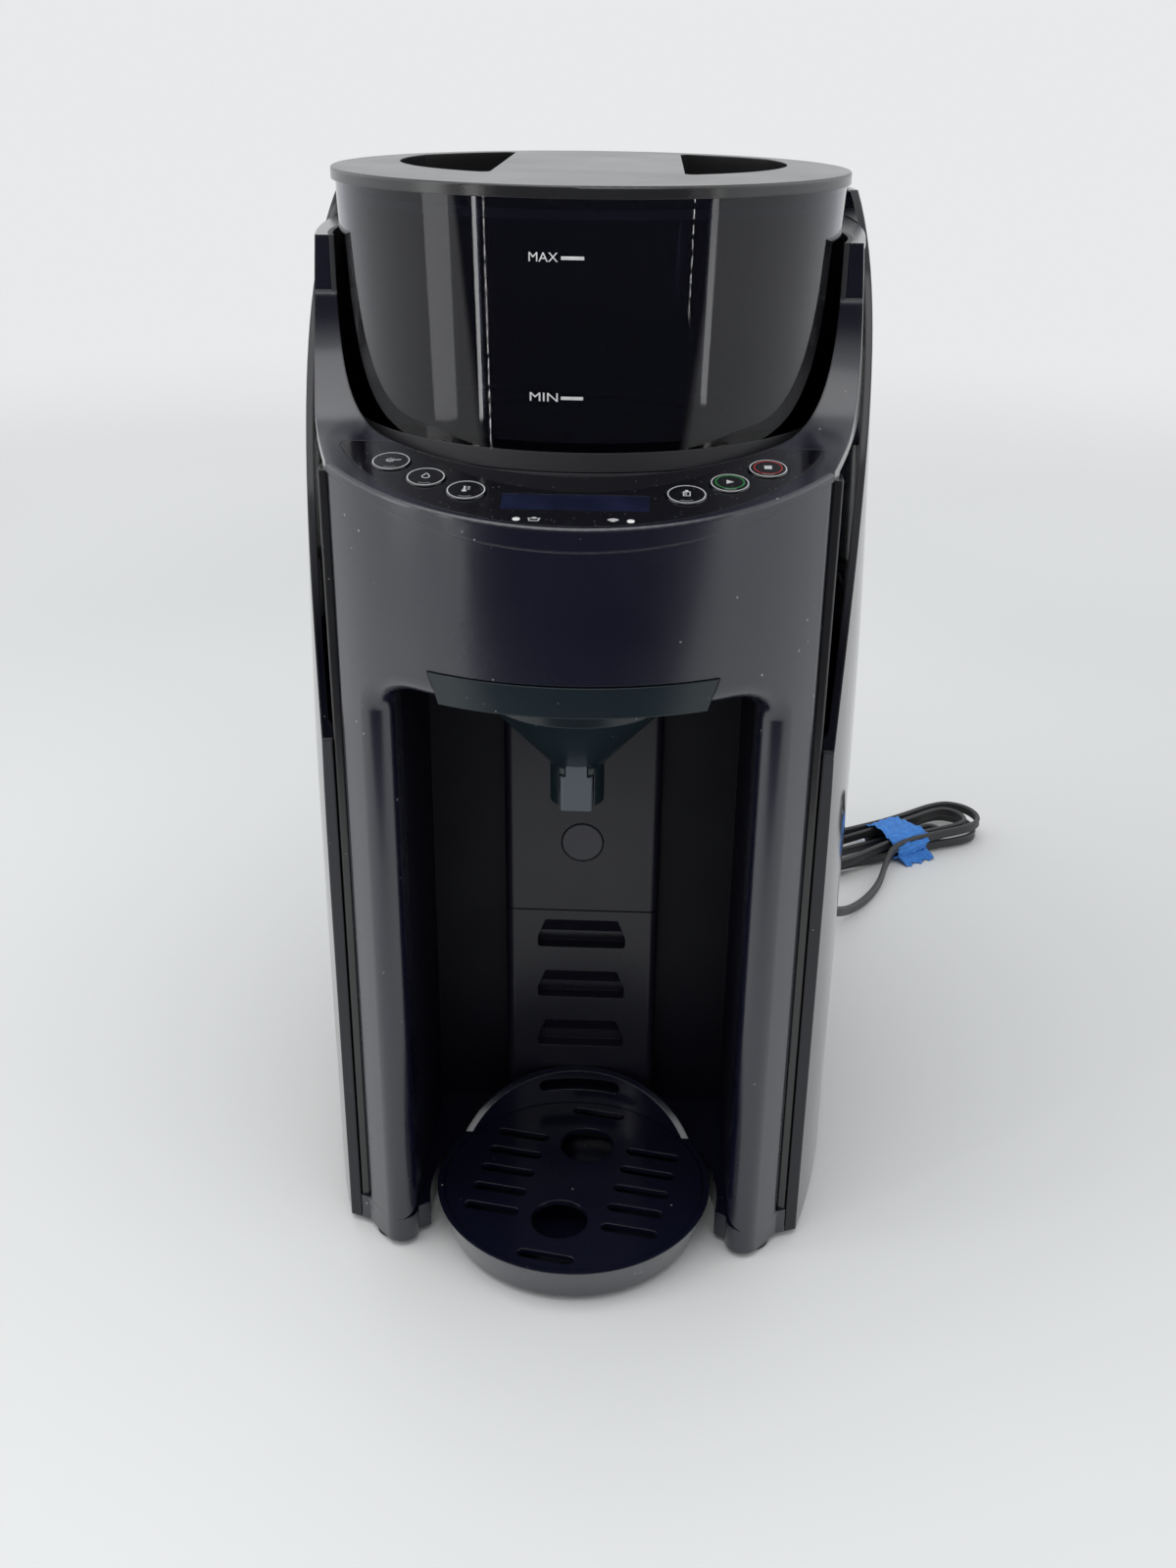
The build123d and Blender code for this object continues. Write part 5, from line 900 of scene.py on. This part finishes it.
def makeWorld(look):
    world = bpy.data.worlds.new("studio")
    world.use_nodes = True
    scene.world = world
    tree = world.node_tree
    tree.nodes.clear()

    def worked(how, first, second=0):
        return mathNode(tree, how, first, second)

    coords = tree.nodes.new("ShaderNodeTexCoord")
    parts = tree.nodes.new("ShaderNodeSeparateXYZ")
    tree.links.new(coords.outputs["Generated"], parts.inputs["Vector"])
    x, y, z = (parts.outputs[name] for name in "XYZ")
    # gloss sees a dark room ahead with faint streaks, and bright walls to the sides
    forward = worked("MULTIPLY", y, -1.0)
    level = worked("SQRT", worked("SUBTRACT", 1.0001, worked("MULTIPLY", z, z)))
    ahead = worked("DIVIDE", forward, level)
    gloom = spanned(tree, ahead, look["gloomFrom"], look["gloomTo"], 0, 1, smooth=True)
    low = spanned(tree, z, look["lowFrom"], look["lowTo"], 1, 0, smooth=True)
    shade = worked("MULTIPLY", gloom, low)
    dim, bright = look["sideDim"], look["sideBright"]
    sides = spanned(tree, worked("ABSOLUTE", x), look["sideFrom"], look["sideTo"], dim, bright, smooth=True)
    around = tree.nodes.new("ShaderNodeCombineXYZ")
    tree.links.new(worked("ARCTAN2", x, forward), around.inputs["X"])
    streaked = noiseField(tree, around.outputs["Vector"], look["streakScale"], 4, 0.6)
    streaks = spanned(tree, streaked, 0.42, 0.66, look["streakDim"], look["streakBright"])
    walls = worked("MULTIPLY", sides, worked("SUBTRACT", 1.0, shade))
    glossy = worked("ADD", walls, worked("MULTIPLY", streaks, shade))
    # the camera and clear plastic see the backdrop's tone, and everything else an even fill
    path = tree.nodes.new("ShaderNodeLightPath")
    glossyRay = path.outputs["Is Glossy Ray"]
    seen = worked("ADD", path.outputs["Is Camera Ray"], path.outputs["Is Transmission Ray"])
    either = worked("MINIMUM", worked("ADD", seen, glossyRay), 1.0)
    fill = worked("MULTIPLY", worked("SUBTRACT", 1.0, either), look["fill"])
    shown = worked("ADD", worked("MULTIPLY", seen, look["seen"]), worked("MULTIPLY", glossyRay, glossy))
    background = tree.nodes.new("ShaderNodeBackground")
    background.inputs["Color"].default_value = (*look["tint"], 1)
    tree.links.new(worked("ADD", shown, fill), background.inputs["Strength"])
    output = tree.nodes.new("ShaderNodeOutputWorld")
    tree.links.new(background.outputs["Background"], output.inputs["Surface"])


def areaLamp(name, place, target, size, power, sizeY=None):
    data = bpy.data.lights.new(name, "AREA")
    data.energy = power
    data.size = size
    if sizeY:
        data.shape = "RECTANGLE"
        data.size_y = sizeY
    lamp = bpy.data.objects.new(name, data)
    scene.collection.objects.link(lamp)
    aim = (Vector(target) - Vector(place)).to_track_quat("-Z", "Y").to_matrix().to_4x4()
    lamp.matrix_world = Matrix.Translation(place) @ aim
    lamp.visible_camera = False


def stageForGloss(thing, material):
    # a stage piece that only reflections show
    scene.collection.objects.link(thing)
    thing.data.materials.append(material)
    thing.visible_camera = False
    thing.visible_diffuse = False
    thing.visible_shadow = False
    thing.visible_transmission = False


def darkFront(look):
    # the unlit room in front of the table: a wedge on the ground that only gloss sees
    bm = bmesh.new()
    near, far = look["near"], look["far"]
    place = flatPlace((0, (near + far) / 2), look["height"], 0, -far, (near - far) / 2)
    bmesh.ops.create_grid(bm, x_segments=1, y_segments=1, size=1, matrix=place)
    card = bpy.data.objects.new("darkFront", meshFrom(bm, "darkFront"))
    material, tree, _ = newFinish("darkFrontFinish")
    parts = tree.nodes.new("ShaderNodeSeparateXYZ")
    tree.links.new(objectPlace(tree), parts.inputs["Vector"])
    aside = mathNode(tree, "ABSOLUTE", parts.outputs["X"], 0)
    edge = mathNode(tree, "ADD", aside, mathNode(tree, "MULTIPLY", parts.outputs["Y"], look["spread"]))
    edge = mathNode(tree, "ADD", edge, look["start"])
    wedge = spanned(tree, edge, -look["soft"], look["soft"], 1, 0, smooth=True)
    close = spanned(tree, parts.outputs["Y"], near - 0.16, near, 1, 0, smooth=True)
    clear = tree.nodes.new("ShaderNodeBsdfTransparent")
    dark = tree.nodes.new("ShaderNodeEmission")
    dark.inputs["Color"].default_value = (*look["colour"], 1)
    share = mathNode(tree, "MULTIPLY", wedge, close)
    blendedSurface(tree, share, clear.outputs["BSDF"], dark.outputs["Emission"])
    stageForGloss(card, material)


def ledColumn(name, look, lamp):
    # a column of small lamps that shows as a dotted line in the gloss
    bm = bmesh.new()
    turn = radians(lamp["angle"])
    x, y = look["distance"] * sin(turn), -look["distance"] * cos(turn)
    upright = Matrix.Rotation(turn, 4, "Z") @ Matrix.Rotation(radians(90), 4, "X")
    facing = upright @ Matrix.Diagonal((look["width"], look["height"], 1, 1))
    for step in range(lamp["count"]):
        place = Matrix.Translation((x, y, lamp["low"] + step * look["spacing"])) @ facing
        bmesh.ops.create_grid(bm, x_segments=1, y_segments=1, size=0.5, matrix=place)
    material = bpy.data.materials.new(name)
    material.use_nodes = True
    tree = material.node_tree
    tree.nodes.clear()
    glow = tree.nodes.new("ShaderNodeEmission")
    glow.inputs["Strength"].default_value = lamp["strength"]
    output = tree.nodes.new("ShaderNodeOutputMaterial")
    tree.links.new(glow.outputs["Emission"], output.inputs["Surface"])
    stageForGloss(bpy.data.objects.new(name, meshFrom(bm, name, smooth=False)), material)


def makeLights(look):
    roof = look["roof"]
    areaLamp("roofLight", roof["place"], (0, -0.02, 0.2), roof["size"], roof["power"])
    away = look["stripDistance"]
    for name, strip in look["strips"].items():
        turn = radians(strip["angle"])
        place = (away * sin(turn), -away * cos(turn), strip["height"])
        target = (0, -0.03, strip["height"] - 0.1)
        areaLamp(name, place, target, strip["width"], strip["power"], strip["tall"])
    for name, lamp in look["leds"]["columns"].items():
        ledColumn(name, look["leds"], lamp)


makeFloor(stageLook)
darkFront(stageLook["front"])
makeWorld(roomLook)
makeLights(stageLook)
print("floor, world and lights done")
